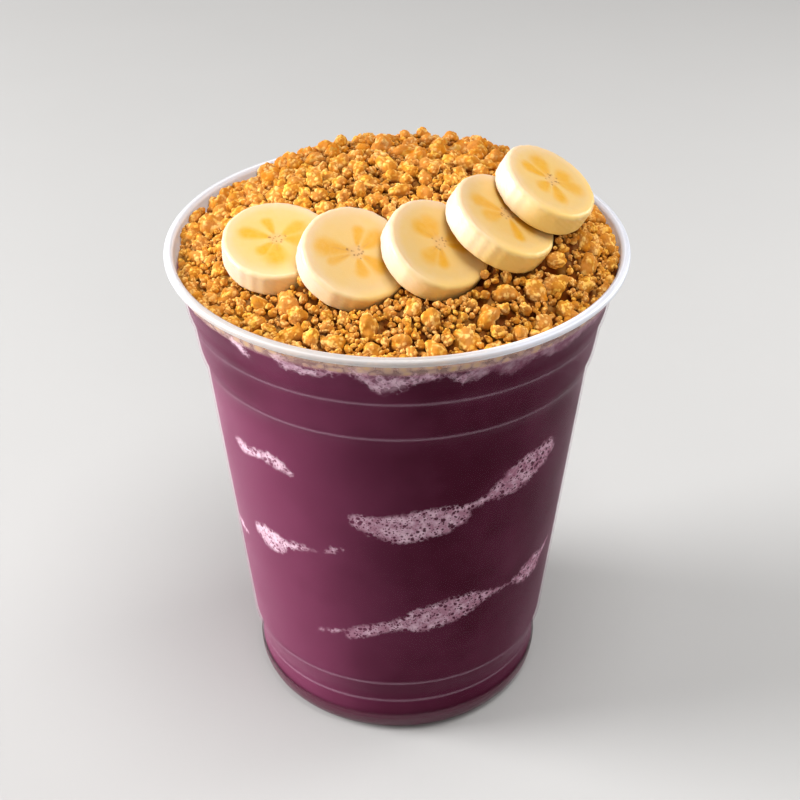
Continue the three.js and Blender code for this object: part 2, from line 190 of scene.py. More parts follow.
# Crumbs that stand out: x, y and radius.
CHOSEN_CRUMBS = (
    (-25.0, -31.5, 4.2), (44.8, -17.0, 3.9), (37.2, -28.0, 3.4), (37.2, -23.8, 2.9), (20.5, -40.5, 3.2),
    (-6.2, -42.5, 3.4), (-39.5, -25.2, 3.2), (-36.5, 19.0, 3.5), (-24.8, 13.8, 3.4), (-19.2, 5.8, 2.9),
    (-6.2, 3.2, 3.2), (-14.2, -46.5, 2.9), (-5.5, -49.5, 2.8), (1.0, -47.8, 2.9), (7.8, -42.0, 3.2),
    (31.8, -32.2, 3.0), (41.0, -31.2, 2.9), (27.8, -43.5, 2.9), (15.5, -46.8, 3.1),
    (-27.5, 31.0, 3.8), (-9.5, 34.0, 4.3), (-4.0, 32.0, 3.6), (15.5, 31.0, 4.3),
    (21.0, 29.5, 3.6), (-15.0, 23.0, 3.9), (-2.0, 18.0, 3.8),
)


# ======================================================================================
# Meshes
# ======================================================================================
def closed_grid(rows, first_pole, last_pole):
    """A closed skin over rows of points that each go once round, from one pole to the other.

    With rows running from the bottom outwards and up, and each row turning anticlockwise
    seen from above, all faces point outwards.
    """
    count, steps = rows.shape[:2]
    points = np.vstack([rows.reshape(-1, 3), [first_pole], [last_pole]])
    here = np.arange(steps)
    ahead = (here + 1) % steps
    base = np.arange(count - 1)[:, None] * steps
    quads = np.stack([base + here, base + ahead, base + steps + ahead, base + steps + here], axis=-1)
    top = (count - 1) * steps
    first, last = count * steps, count * steps + 1
    fans = np.vstack([
        np.stack([np.full(steps, first), ahead, here], axis=-1),
        np.stack([top + here, top + ahead, np.full(steps, last)], axis=-1),
    ])
    return points, [quads.reshape(-1, 4), fans]


def add_piece(name, points, faces, material, replaces, attributes=None):
    """Makes one piece from points in millimetres and arrays of equal-sided faces."""
    mesh = bpy.data.meshes.new(name)
    corners = np.concatenate([block.ravel() for block in faces])
    sides = np.concatenate([np.full(len(block), block.shape[1]) for block in faces])
    mesh.vertices.add(len(points))
    mesh.vertices.foreach_set("co", (points * MM).astype(np.float32).ravel())
    mesh.loops.add(len(corners))
    mesh.loops.foreach_set("vertex_index", corners.astype(np.int32))
    mesh.polygons.add(len(sides))
    mesh.polygons.foreach_set("loop_start", (np.cumsum(sides) - sides).astype(np.int32))
    mesh.update(calc_edges=True)
    mesh.validate()
    mesh.shade_smooth()
    for key, values in (attributes or {}).items():
        layer = mesh.attributes.new(key, "FLOAT", "POINT")
        layer.data.foreach_set("value", np.asarray(values, np.float32).ravel())
    mesh.materials.append(material)
    piece = bpy.data.objects.new(name, mesh)
    bpy.context.scene.collection.objects.link(piece)
    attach(piece, "root")
    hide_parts(*replaces)


def turned(profile, steps):
    """A profile of radius and height from axis to axis, turned round Z into closed rows."""
    angle = np.linspace(0, 2 * np.pi, steps, endpoint=False)
    radius, height = profile[1:-1, 0, None], profile[1:-1, 1, None]
    rows = np.stack([radius * np.cos(angle), radius * np.sin(angle), height + 0 * angle], axis=-1)
    return rows, (0, 0, profile[0, 1]), (0, 0, profile[-1, 1])


def smoothstep(low, high, value):
    """0 below low, 1 above high and an S-shaped rise between."""
    share = np.clip((value - low) / (high - low), 0, 1)
    return share * share * (3 - 2 * share)


# ======================================================================================
# Shapes that several pieces follow
# ======================================================================================
def outer_radius(depth):
    """Radius of the outer wall: straight between its stations, each bend rounded.

    The rounding is the mean of the straight profile over nine depths around the point.
    """
    depths, radii = np.array(OUTER_WALL).T
    offsets = np.linspace(-WALL_SOFTNESS, WALL_SOFTNESS, 9)
    around = np.asarray(depth, float)[..., None] + offsets
    return np.interp(around, depths, radii).mean(axis=-1)


def rib_relief(depth):
    """How far the fine lines stand out at a depth, and how strongly their painted highlight shows."""
    depth = np.asarray(depth, float)
    relief = np.zeros_like(depth)
    show = np.zeros_like(depth)
    for line, height, half_width in RIB_LINES:
        bell = np.exp(-(((depth - line) / half_width) ** 2))
        relief += height * bell
        show = np.maximum(show, bell)
    return relief, show


def inner_radius(depth, wall):
    """Radius of the cup's inside at a depth below the rim's top."""
    return outer_radius(depth) - wall


def slice_frame(slice_place):
    """The slice's two in-plane directions, the way its face looks, and its face's centre."""
    lean, tilt = math.radians(slice_place["lean"]), math.radians(slice_place["tilt"])
    turn = math.radians(slice_place["turn"])
    tilt_axis = np.array([-math.sin(lean), math.cos(lean), 0.0])

    def tilted(vector):
        """Turned about the tilt axis by Rodrigues' formula."""
        return (
            vector * math.cos(tilt)
            + np.cross(tilt_axis, vector) * math.sin(tilt)
            + tilt_axis * (tilt_axis @ vector) * (1 - math.cos(tilt))
        )

    along = tilted(np.array([math.cos(turn), math.sin(turn), 0.0]))
    across = tilted(np.array([-math.sin(turn), math.cos(turn), 0.0]))
    facing = tilted(np.array([0.0, 0.0, 1.0]))
    centre = np.array([slice_place["x"], slice_place["y"], RIM_TOP + slice_place["rise"]])
    return along, across, facing, centre


def slice_gap(points, slice_place, thickness):
    """Distance from points to a slice's round body, zero inside it."""
    _, _, facing, centre = slice_frame(slice_place)
    offset = points - centre
    height = offset @ facing
    reach = np.linalg.norm(offset - height[..., None] * facing, axis=-1)
    past_side = np.maximum(0, reach - slice_place["radius"] * 1.02)
    past_face = np.maximum(0, np.maximum(height, -thickness - height))
    return np.hypot(past_side, past_face)


def underside_offset(x, y, place, thickness):
    """Offset in plan from the middle of a slice's underside, and the way its face looks."""
    facing = slice_frame(place)[2]
    return x - place["x"] + thickness * facing[0], y - place["y"] + thickness * facing[1], facing


def heap_height(x, y, wall, thickness):
    """Height of the bare heap over the rim's top.

    The share of the way from the peak to the wall, raised to a power that is smaller at the
    front left, gives the fall from the peak's height to the edge's. Low waves are added.
    Under each slice the heap is banked up to the slice, and around its edge it is kept
    from rising steeply above the slice's underside.
    """
    x, y = np.asarray(x, float), np.asarray(y, float)
    edge = inner_radius(HEAP_EDGE_DEPTH, wall) - CLEARANCE
    from_x, from_y = x - HEAP_PEAK[0], y - HEAP_PEAK[1]
    from_peak = np.maximum(1e-6, np.hypot(from_x, from_y))
    aim_x, aim_y = from_x / from_peak, from_y / from_peak
    along = HEAP_PEAK[0] * aim_x + HEAP_PEAK[1] * aim_y
    to_wall = np.sqrt(along**2 + edge**2 - HEAP_PEAK[0] ** 2 - HEAP_PEAK[1] ** 2) - along
    share = np.minimum(1, from_peak / to_wall)
    hollow = (1 + aim_x * math.cos(HEAP_HOLLOW_AIM) + aim_y * math.sin(HEAP_HOLLOW_AIM)) / 2
    fall = share ** (HEAP_FULLNESS - HEAP_HOLLOW * hollow**3)
    waves = HEAP_WAVE * (1 - share) * (np.sin(x / 6.1 + 1) * np.cos(y / 7.3) + np.sin((x + y) / 9.7))
    height = -HEAP_EDGE_DEPTH + (HEAP_HEIGHT + HEAP_EDGE_DEPTH) * (1 - fall) + waves
    beds = []
    for place in SLICES:
        off_x, off_y, facing = underside_offset(x, y, place, thickness)
        drop = (facing[0] * off_x + facing[1] * off_y) / facing[2]
        under = place["rise"] - thickness * facing[2] - drop - 2 * CLEARANCE
        beds.append((under, np.sqrt(off_x**2 + off_y**2 + drop**2), place["radius"]))
    for under, reach, radius in beds:
        height = np.maximum(height, under - BANK_FALL * np.maximum(0, reach - radius * BANK_REACH) ** 2)
    for under, reach, radius in beds:
        height = np.minimum(height, under + BED_RISE * np.maximum(0, reach - radius * BED_REACH))
    return height


def cobbles(x, y, cell, seed):
    """Relief like packed pebbles, from 0 to 1.

    Each square cell holds one round bump at a random place and of random size, and the
    highest bump of the nine cells around a point gives its height.
    """
    column, row = np.floor(x / cell), np.floor(y / cell)
    height = np.zeros_like(x)
    for step_x in (-1, 0, 1):
        for step_y in (-1, 0, 1):
            a, b = column + step_x, row + step_y
            mixed = np.sin(a * 127.1 + b * 311.7 + seed * 74.7) * 43758.5453
            first = mixed - np.floor(mixed)
            mixed = np.sin(a * 269.5 + b * 183.3 + seed * 246.1) * 23421.631
            second = mixed - np.floor(mixed)
            reach = np.hypot(x / cell - a - first, y / cell - b - second)
            size = 0.55 + 0.4 * ((first * 7 + second * 3) % 1)
            height = np.maximum(height, size * np.sqrt(np.maximum(0, 1 - (reach / size) ** 2)))
    return height


# ======================================================================================
# Crumbs
# ======================================================================================
def lump_directions(level):
    """Unit directions and triangles of an icosphere."""
    ball = bmesh.new()
    bmesh.ops.create_icosphere(ball, subdivisions=level, radius=1.0)
    directions = np.array([vertex.co[:] for vertex in ball.verts])
    triangles = np.array([[vertex.index for vertex in face.verts] for face in ball.faces])
    ball.free()
    return directions / np.linalg.norm(directions, axis=1, keepdims=True), triangles


def farthest(directions, aims, out, size):
    """How far the joined outline of some balls reaches along each direction.

    Along a direction d, a ball of radius q with centre c reaches out to
    c.d + sqrt((c.d)^2 - |c|^2 + q^2), and the outline is the farthest of these.
    """
    along = (directions @ aims.transpose(0, 2, 1)) * out[:, None, :]
    inside = along**2 - (out**2 - size**2)[:, None, :]
    return np.where(inside > 0, along + np.sqrt(np.maximum(inside, 0)), 0).max(axis=-1)


def random_aims(count, number, random):
    """Random unit directions."""
    aims = random.normal(size=(count, number, 3))
    return aims / np.linalg.norm(aims, axis=-1, keepdims=True)


def knobbly_lumps(count, level, knobs, knob, random):
    """Lumps of about unit size: a few balls joined, with small knobs stuck over them.

    Returns the points, how deep each lies between the knobs from 0 to 1, and the triangles
    of one lump.
    """
    directions, triangles = lump_directions(level)
    body_aims = random_aims(count, 9, random)
    body_size = random.uniform(0.28, 0.56, (count, 9))
    body = (body_aims, 1 - body_size, body_size)
    knob_aims = random_aims(count, knobs, random)
    knob_size = knob[0] + (knob[1] - knob[0]) * random.random((count, knobs)) ** 1.5
    carried = np.maximum(LEAST_REACH, farthest(knob_aims, *body))
    knob_out = carried - knob_size * random.uniform(0.3, 0.8, (count, knobs))
    smooth = np.maximum(LEAST_REACH, farthest(directions[None], *body))
    reach = np.maximum(smooth, farthest(directions[None], knob_aims, knob_out, knob_size))
    # One step of evening out along the edges takes the saw teeth off the creases.
    pairs = np.vstack([triangles[:, [0, 1]], triangles[:, [1, 2]], triangles[:, [2, 0]]])
    total, number = np.zeros_like(reach), np.zeros(len(directions))
    for first, second in (pairs.T, pairs[:, ::-1].T):
        np.add.at(number, first, 1)
        np.add.at(total, (slice(None), first), reach[:, second])
    crease_shade = np.clip(1 - (reach - smooth) / (0.5 * knob[0] + 0.02), 0, 1)
    reach = 0.65 * reach + 0.35 * total / number
    reach *= 1 + GRIT * random.uniform(-1, 1, reach.shape)
    return directions * reach[..., None], crease_shade, triangles


def random_turns(count, random):
    """Random rotation matrices, from unit quaternions."""
    numbers = random.normal(size=(4, count))
    w, x, y, z = numbers / np.linalg.norm(numbers, axis=0)
    return np.stack([
        np.stack([1 - 2 * (y * y + z * z), 2 * (x * y - w * z), 2 * (x * z + w * y)], axis=-1),
        np.stack([2 * (x * y + w * z), 1 - 2 * (x * x + z * z), 2 * (y * z - w * x)], axis=-1),
        np.stack([2 * (x * z - w * y), 2 * (y * z + w * x), 1 - 2 * (x * x + y * y)], axis=-1),
    ], axis=1)


def crumb_level(x, y, wall, thickness):
    """Height over the rim's top that the crumbs are dropped to: the bare heap's, taken down
    at its peak except under the slices that it carries, with a low bulge."""
    height = heap_height(x, y, wall, thickness)
    away = np.ones_like(height)
    for place in SLICES:
        off_x, off_y, _ = underside_offset(x, y, place, thickness)
        away *= smoothstep(*CARRIED_REACH, np.hypot(off_x, off_y) / place["radius"])
    reach = BULGE["reach"]
    bulge = np.exp(-(((x - BULGE["x"]) / reach) ** 2) - ((y - BULGE["y"]) / reach) ** 2)
    return height - PEAK_DROP * away * smoothstep(*PEAK_HEIGHTS, height) + BULGE["rise"] * bulge


def drop_crumbs(placed, chosen, keep, kind, wall, thickness, random):
    """Drops crumbs of one kind one by one and returns those that came to rest.

    The chosen ones go first, and the rest fall at random. A crumb rests on the core or on
    the crumbs already there, whichever is higher. It is skipped if its top ends too high
    above the core, or if it ends in a slice or in the wall.
    """
    low, high = kind["radius"]
    tries = keep * 10
    radius = low + (high - low) * random.random(tries) ** 1.4
    from_axis = (inner_radius(0.0, wall) - radius) * np.sqrt(random.random(tries))
    angle = 2 * np.pi * random.random(tries)
    x, y = from_axis * np.cos(angle), from_axis * np.sin(angle)
    if low >= LUMP_RADIUS:
        y = np.where((random.random(tries) < MOVED_SHARE) & (y < 0), -y, y)
    if len(chosen):
        x[: len(chosen)], y[: len(chosen)], radius[: len(chosen)] = np.array(chosen).T
    back = smoothstep(-8, 20, y)
    core = RIM_TOP + crumb_level(x, y, wall, thickness) + kind["back"] * back
    rest = core + random.uniform(*kind["top"], tries) - radius
    highest = core + kind["limit"] - radius
    # Crumbs lie closer together towards the back of the heap, where they have merged.
    closeness = kind["closeness"] * (1 - 0.2 * back)
    settled = np.zeros((len(placed) + keep, 4))
    settled[: len(placed)] = placed
    filled = len(placed)
    for index in range(tries):
        if filled == len(settled):
            break
        others = settled[:filled]
        near = closeness[index] * (others[:, 3] + radius[index])
        apart = (others[:, 0] - x[index]) ** 2 + (others[:, 1] - y[index]) ** 2
        under = apart < near**2
        height = rest[index]
        if under.any():
            height = max(height, (others[under, 2] + np.sqrt(near[under] ** 2 - apart[under])).max())
        if height > highest[index]:
            continue
        settled[filled] = x[index], y[index], height, radius[index]
        filled += 1
    fresh = settled[len(placed) : filled]
    return fresh[clear_of_neighbours(fresh, wall, thickness)]


def clear_of_neighbours(crumbs, wall, thickness):
    """Which crumbs keep out of the slices and the wall, apart from a slight touch."""
    clear = np.ones(len(crumbs), bool)
    for place in SLICES:
        clear &= slice_gap(crumbs[:, :3], place, thickness) > SLICE_GAP * crumbs[:, 3]
    depth = np.maximum(0, RIM_TOP - crumbs[:, 2])
    reach = np.where(depth > 1.0, inner_radius(np.maximum(3.0, depth), wall), RIM_RADIUS - BEAD_WIDTH)
    return clear & (np.hypot(crumbs[:, 0], crumbs[:, 1]) + WALL_GAP * crumbs[:, 3] < reach)


# ======================================================================================
# Materials
# ======================================================================================
class Nodes:
    """Short calls for the nodes that the materials use.

    Those that make a value or a colour return the output socket that gives it.
    """

    def __init__(self, tree):
        self.tree = tree
        self.place = None

    def add(self, kind, inputs=None, output=0, **settings):
        node = self.tree.nodes.new(kind)
        for key, value in settings.items():
            setattr(node, key, value)
        for key, value in (inputs or {}).items():
            self.feed(node.inputs[key], value)
        return node.outputs[output]

    def feed(self, socket, value):
        if isinstance(value, bpy.types.NodeSocket):
            self.tree.links.new(value, socket)
        else:
            socket.default_value = value

    def object_place(self):
        if self.place is None:
            self.place = self.add("ShaderNodeTexCoord", output="Object")
        return self.place

    def attribute(self, name):
        return self.add("ShaderNodeAttribute", output="Fac", attribute_name=name)

    def math(self, operation, first, second=0.0, third=0.0, clamp=False):
        inputs = {0: first, 1: second, 2: third}
        return self.add("ShaderNodeMath", inputs, operation=operation, use_clamp=clamp)

    def mix(self, share, first, second):
        inputs = {"Factor": share, 6: first, 7: second}
        return self.add("ShaderNodeMix", inputs, 2, data_type="RGBA")

    def times(self, first, second):
        return self.math("MULTIPLY", first, second)

    def coats(self, ground, *coats):
        """Mixes colours over a ground one after the other, each by its own share.

        A share is a socket or the name of an attribute.
        """
        for share, colour_over in coats:
            if isinstance(share, str):
                share = self.attribute(share)
            ground = self.mix(share, ground, colour_over)
        return ground

    def feed_all(self, node, **values):
        for key, value in values.items():
            self.feed(node.inputs[key.replace("_", " ")], value)

    def step(self, value, low, high, bottom=0.0, top=1.0):
        inputs = {"Value": value, "From Min": low, "From Max": high, "To Min": bottom, "To Max": top}
        return self.add("ShaderNodeMapRange", inputs, interpolation_type="SMOOTHSTEP")

    def noise(self, size, detail=3.0, roughness=0.55, output="Fac"):
        """Noise whose features are about `size` millimetres across."""
        inputs = {
            "Vector": self.object_place(), "Scale": 1 / (size * MM),
            "Detail": detail, "Roughness": roughness,
        }
        return self.add("ShaderNodeTexNoise", inputs, output)

    def cells(self, size, output="Distance", place=None):
        """Voronoi cells about `size` millimetres across."""
        inputs = {"Vector": place or self.object_place(), "Scale": 1 / (size * MM)}
        return self.add("ShaderNodeTexVoronoi", inputs, output)

    def bump(self, height, distance, share):
        inputs = {"Height": height, "Distance": distance * MM, "Strength": share}
        return self.add("ShaderNodeBump", inputs)


def new_material(name, **plain):
    """A material with one Principled shader, with plain values set on its own sockets."""
    material = bpy.data.materials.new(name)
    material.use_nodes = True
    nodes, shader = Nodes(material.node_tree), material.node_tree.nodes["Principled BSDF"]
    nodes.feed_all(shader, **plain)
    return material, nodes, shader


def grain_group():
    """Shared grain: Height of fine grit on soft lumps, and Mottle, uneven patches from 0 to 1.

    Inputs are the place in the piece, the size of the grit in metres and the share that
    the grit has of the height.
    """
    found = bpy.data.node_groups.get("Surface Grain")
    if found:
        return found
    group = bpy.data.node_groups.new("Surface Grain", "ShaderNodeTree")
    for name, way, kind in (
        ("Place", "INPUT", "Vector"), ("Grit Scale", "INPUT", "Float"), ("Grit Share", "INPUT", "Float"),
        ("Height", "OUTPUT", "Float"), ("Mottle", "OUTPUT", "Float"),
    ):
        group.interface.new_socket(name, in_out=way, socket_type=f"NodeSocket{kind}")
    nodes = Nodes(group)
    given = group.nodes.new("NodeGroupInput")
    result = group.nodes.new("NodeGroupOutput")
    place, scale, share = (given.outputs[key] for key in ("Place", "Grit Scale", "Grit Share"))

    def unevenness(part, detail, roughness):
        """Noise whose scale is a part of the grit's."""
        inputs = {"Vector": place, "Scale": nodes.times(scale, part),
                  "Detail": detail, "Roughness": roughness}
        return nodes.add("ShaderNodeTexNoise", inputs, "Fac")

    grit, lumps = unevenness(1.0, 4.0, 0.65), unevenness(0.28, 2.0, 0.5)
    patches = unevenness(0.11, 3.0, 0.6)
    rest = nodes.math("SUBTRACT", 1.0, share)
    height = nodes.math("ADD", nodes.times(grit, share), nodes.times(lumps, rest))
    nodes.feed_all(result, Height=height, Mottle=nodes.step(patches, 0.35, 0.65))
    return group


def grain(nodes, size, share):
    """Height and Mottle of the shared grain, with grit `size` millimetres across."""
    node = nodes.tree.nodes.new("ShaderNodeGroup")
    node.node_tree = grain_group()
    nodes.feed_all(node, Place=nodes.object_place(), Grit_Scale=1 / (size * MM), Grit_Share=share)
    return node.outputs["Height"], node.outputs["Mottle"]


def clear_plastic(settings):
    """Thin clear plastic with a little milk in it, which shows most where it is seen edge on, with painted
    highlights on the fine lines and the rim, painted shade on the rim's front and left, and lit crumbs
    painted in the neck.
    """
    material, nodes, shader = new_material(
        "clear cup plastic", Roughness=0.22, IOR=1.5, Coat_Roughness=0.12
    )
    material.surface_render_method = "BLENDED"
    facing = nodes.add("ShaderNodeLayerWeight", {"Blend": 0.5}, "Facing")
    edge_on = nodes.math("POWER", facing, 3.6)
    film = nodes.math("MULTIPLY_ADD", edge_on, settings.edge_milk, settings.milk)
    cloud = nodes.noise(9.0, 3.0)
    film = nodes.times(film, nodes.step(cloud, 0.2, 0.8, 0.75, 1.25))
    # Under the rim, patches of lit crumbs are painted into the wall, with painted light between them: the
    # real crumbs behind lie in the rim's shade.
    wobble = {0: nodes.noise(3.0, 2.0, output="Color"), "Scale": 1.6 * MM}
    bent = nodes.add("ShaderNodeVectorMath", wobble, operation="SCALE")
    bent = nodes.add("ShaderNodeVectorMath", {0: nodes.object_place(), 1: bent}, operation="ADD")
    lumps = nodes.cells(2.7, place=bent)
    patches = nodes.step(lumps, 0.7, 0.25)
    film = nodes.math("MAXIMUM", film, nodes.attribute("milk"))
    more = settings.neck_milk - settings.neck_least
    behind = nodes.math("MULTIPLY_ADD", patches, more, settings.neck_least)
    film = nodes.math("MAXIMUM", film, nodes.times(behind, nodes.attribute("neck")), clamp=True)
    neck = nodes.mix(nodes.step(lumps, 0.5, 0.05, 0.55, 1.0), settings.line, settings.lit_crumbs_painted)
    tint = nodes.coats(
        settings.glow,
        (nodes.step(facing, 0.25, 0.75), settings.tint),
        # Painted highlight colour where the wall is milkier, as on the fine raised lines.
        (nodes.step(nodes.attribute("milk"), 0.0, 0.15), settings.line),
        ("neck", neck),
        # Painted shade on the rim's front and left.
        ("rim", nodes.coats(settings.clear, ("rim_painted_shade", settings.rim_shade_tint))),
        ("foot", settings.foot),
    )
    waves = nodes.bump(nodes.noise(14.0, 2.0), 0.25, 0.35)
    nodes.feed_all(shader, Alpha=film, Base_Color=tint, Normal=waves)
    return material


def acai_cream(settings):
    """Smooth dark purple cream, paler on the left as painted light, with foam full of pin-holes along its
    streaks, lighter on the left as painted light too.
    """
    material, nodes, shader = new_material("acai cream", Roughness=0.5, Specular_IOR_Level=0.03)
    cloud = nodes.noise(26.0, 4.0, 0.55)
    # Paler in random clouds, and on the left as painted light.
    paler_and_lit = nodes.math("ADD", nodes.step(cloud, 0.3, 0.7, 0.0, 0.32), nodes.attribute("pale"), clamp=True)
    specks = nodes.step(nodes.cells(3.2), 0.09, 0.05)
    specks = nodes.times(specks, nodes.step(nodes.noise(7.0), 0.5, 0.6))
    cream = nodes.coats(
        settings.deep, (paler_and_lit, settings.light), (nodes.times(specks, 0.55), settings.speck)
    )
    # Foam: bubbles are dark in it, and eat into it most near its ragged outline.
    ragged = nodes.math("SUBTRACT", nodes.noise(1.7, 5.0, 0.78), 0.5)
    lobes = nodes.math("SUBTRACT", nodes.noise(5.0, 2.0), 0.5)
    sheer = nodes.math("MULTIPLY_ADD", nodes.attribute("sheer"), -1.0, 1.0)
    holes = nodes.math("MAXIMUM", pin_holes(nodes, 1.3, 0.56, 0.08), pin_holes(nodes, 0.62, 0.5, 0.1))
    bubbles = nodes.times(pin_holes(nodes, 2.2, 0.7, 0.05), nodes.attribute("haze"))
    holes = nodes.times(nodes.math("MAXIMUM", holes, bubbles), sheer)
    milky = nodes.math("MULTIPLY_ADD", nodes.attribute("haze"), -0.4, 1.0)
    holes = nodes.times(holes, milky)
    outline = nodes.math("MULTIPLY_ADD", ragged, 1.3, nodes.attribute("foam"))
    outline = nodes.math("MULTIPLY_ADD", lobes, 0.5, outline)
    outline = nodes.math("MULTIPLY_ADD", holes, -0.25, outline)
    foam = nodes.step(outline, 0.28, 0.92)
    open_share = nodes.math("MULTIPLY_ADD", nodes.attribute("thick"), 0.3, -0.95)
    foam = nodes.times(foam, nodes.math("MULTIPLY_ADD", holes, open_share, 1.0))
    foam = nodes.times(foam, nodes.math("MULTIPLY_ADD", sheer, 0.5, 0.5))
    patches = nodes.step(nodes.noise(2.8, 4.0, 0.65), 0.38, 0.66, 0.0, 0.7)
    # Lighter in random patches, and towards the left as painted light.
    brighter = nodes.math("ADD", patches, nodes.attribute("thick"), clamp=True)
    pale = nodes.mix(brighter, settings.foam, settings.thick_and_lit_foam)
    nodes.feed_all(shader, Base_Color=nodes.mix(foam, cream, pale), Normal=nodes.bump(foam, 0.1, 0.3))
    return material


def pin_holes(nodes, size, largest, softness):
    """1 inside round holes: each cell has one whose radius is a random share of `largest`."""
    distance = nodes.cells(size)
    chance = nodes.cells(size, "Color")
    reach = nodes.times(chance, largest)
    return nodes.step(nodes.math("SUBTRACT", distance, reach), softness, -softness)


def baked_crumble(settings, name, depth):
    """Sandy baked dough: golden and browner in patches, with painted shade in its creases, between the
    crumbs, on sides turned from the key light and towards the back of the heap, and painted highlights on
    its grit.
    """
    material, nodes, shader = new_material(
        name, Roughness=0.85, Specular_IOR_Level=0.03, Diffuse_Roughness=0.4
    )
    height, mottle = grain(nodes, 0.4, 0.65)
    body = nodes.coats(
        settings.golden,
        # Random tone, and painted shade towards the back of the heap.
        ("tone_and_back_shade", settings.brown),
        (nodes.times(mottle, 0.45), settings.pale),
        # Painted highlight on the grit's tops.
        (nodes.step(height, 0.5, 0.7, 0.0, 0.12), settings.pale),
        # Painted shade in the grit's hollows and in the creases between knobs.
        (nodes.step(height, 0.48, 0.34, 0.0, 0.4), settings.crease_shade),
        (nodes.step(nodes.attribute("crease_shade"), 0.0, 1.0, 0.0, depth), settings.crease_shade),
        # Painted shade on the sides turned from the key light.
        (nodes.times(nodes.attribute("under"), 0.85), settings.under),
        # Painted shade deep between the crumbs.
        (nodes.times(nodes.attribute("gap_shade"), 0.94), settings.gap),
    )
    nodes.feed_all(shader, Base_Color=body, Normal=nodes.bump(height, 0.35, 1.0))
    return material


def banana_flesh(settings):
    """Moist cream-coloured flesh, yellow round the heart, with a star and small dark seeds, and painted
    shade on its sides.
    """
    material, nodes, shader = new_material(
        "banana flesh", IOR=1.4, Subsurface_Weight=0.3, Subsurface_Radius=(1.0, 0.65, 0.3),
        Subsurface_Scale=3 * MM,
    )
    height, mottle = grain(nodes, 0.5, 0.4)
    streaks = nodes.step(nodes.noise(1.6, 4.0), 0.3, 0.7, 0.78, 1.0)
    body = nodes.coats(
        settings.flesh,
        (nodes.times(mottle, 0.35), settings.halo),
        ("halo", settings.halo),
        (nodes.times(nodes.attribute("petal"), streaks), settings.star),
        ("vein", settings.vein),
        ("heart", settings.heart),
        ("seed", settings.dark_seed),
        # Painted shade on the sides that turn from the key light: half on those to the front, full on those
        # away.
        ("flank", nodes.coats(settings.flank, ("front", settings.front), ("away", settings.shaded))),
    )
    moist = nodes.step(mottle, 0.0, 1.0, 0.3, 0.48)
    nodes.feed_all(shader, Base_Color=body, Roughness=moist, Normal=nodes.bump(height, 0.12, 0.5))
    return material


def plain_floor(settings):
    """A pale matt floor with the faintest unevenness."""
    material, nodes, shader = new_material("pale floor", Roughness=0.8)
    cloud = nodes.noise(60.0, 3.0)
    shade = tuple(0.97 * channel for channel in settings.floor[:3]) + (1,)
    nodes.feed_all(shader, Base_Color=nodes.mix(cloud, settings.floor, shade))
    return material


# ======================================================================================
# Settings
# ======================================================================================
def length(name, description, default):
    return bpy.props.FloatProperty(
        name=name, description=description, default=default, min=0.0, unit="LENGTH", precision=4
    )


def fraction(name, description, default):
    return bpy.props.FloatProperty(
        name=name, description=description, default=default, min=0.0, max=1.0, subtype="FACTOR"
    )


def strength(name, description, default, unit="NONE"):
    return bpy.props.FloatProperty(
        name=name, description=description, default=default, min=0.0, unit=unit
    )


def amount(name, description, default):
    return bpy.props.IntProperty(name=name, description=description, default=default, min=0)


def colour(name, description, default):
    return bpy.props.FloatVectorProperty(
        name=name, description=description, default=(*default, 1.0), size=4, min=0.0, max=1.0,
        subtype="COLOR",
    )


class AcaiCupSettings(bpy.types.PropertyGroup):
    wall: length("Wall", "Thickness of the plastic wall", 0.0007)
    milk: fraction("Milkiness", "How much the wall hides, seen straight on", 0.003)
    edge_milk: fraction("Edge Milkiness", "How much more it hides, seen edge on", 0.25)
    rim_milk: fraction("Rim Milkiness", "How much the rolled rim hides", 0.72)
    # Painted highlight: the fine raised lines are milkier, so they show as light lines.
    line_milk_and_highlight: fraction("Line Milkiness", "How much the fine raised lines hide", 0.19)
    # Painted light: the painted crumbs in the neck and the lighter milk between them.
    neck_milk: fraction("Neck Milkiness", "How much the pattern of crumbs in the neck hides", 0.58)
    neck_least: fraction("Neck Least", "How much the neck hides between those crumbs", 0.31)
    tint: colour("Tint", "Colour of the milk in the wall, seen edge on", (0.72, 0.36, 0.52))
    glow: colour("Glow", "Colour of the milk in the wall, seen straight on", (0.72, 0.17, 0.38))
    # Line Tint: colour of the painted highlight on the fine raised lines, and of the painted light in the
    # neck between the crumbs.
    line: colour("Line Tint", "Colour of the fine raised lines", (0.66, 0.42, 0.55))
    # Crumbs Behind: painted lit crumbs, brighter than the real crumbs behind the neck, which lie in shade.
    lit_crumbs_painted: colour("Crumbs Behind", "Crumbs seen blurred through the wall", (0.84, 0.56, 0.28))
    clear: colour("Rim Tint", "Colour of the milk in the rim", (0.8, 0.83, 0.92))
    # Lit Rim Tint: painted shade, darker than the rest of the rim's milk, on its front and left.
    rim_shade_tint: colour("Lit Rim Tint", "Colour of the milk in the front left of the rim", (0.54, 0.51, 0.5))
    foot: colour("Foot Tint", "Colour of the cream seen in the thick foot", (0.095, 0.012, 0.036))


class AcaiCreamSettings(bpy.types.PropertyGroup):
    fill_depth: length("Fill Depth", "Level of the cream below the rim's top", 0.0055)
    deep: colour("Deep", "Darkest cream", (0.042, 0.003, 0.0125))
    # Light: lightest cream, in random clouds and as painted light on the left.
    light: colour("Light", "Lightest cream", (0.138, 0.029, 0.066))
    speck: colour("Speck", "Dark specks of acai skin", (0.02, 0.004, 0.009))
    foam: colour("Foam", "Foam against the wall", (0.29, 0.12, 0.18))
    # Thick Foam: lighter foam in random patches, and towards the left as painted light.
    thick_and_lit_foam: colour("Thick Foam", "Foam where it is thickest", (0.67, 0.48, 0.565))


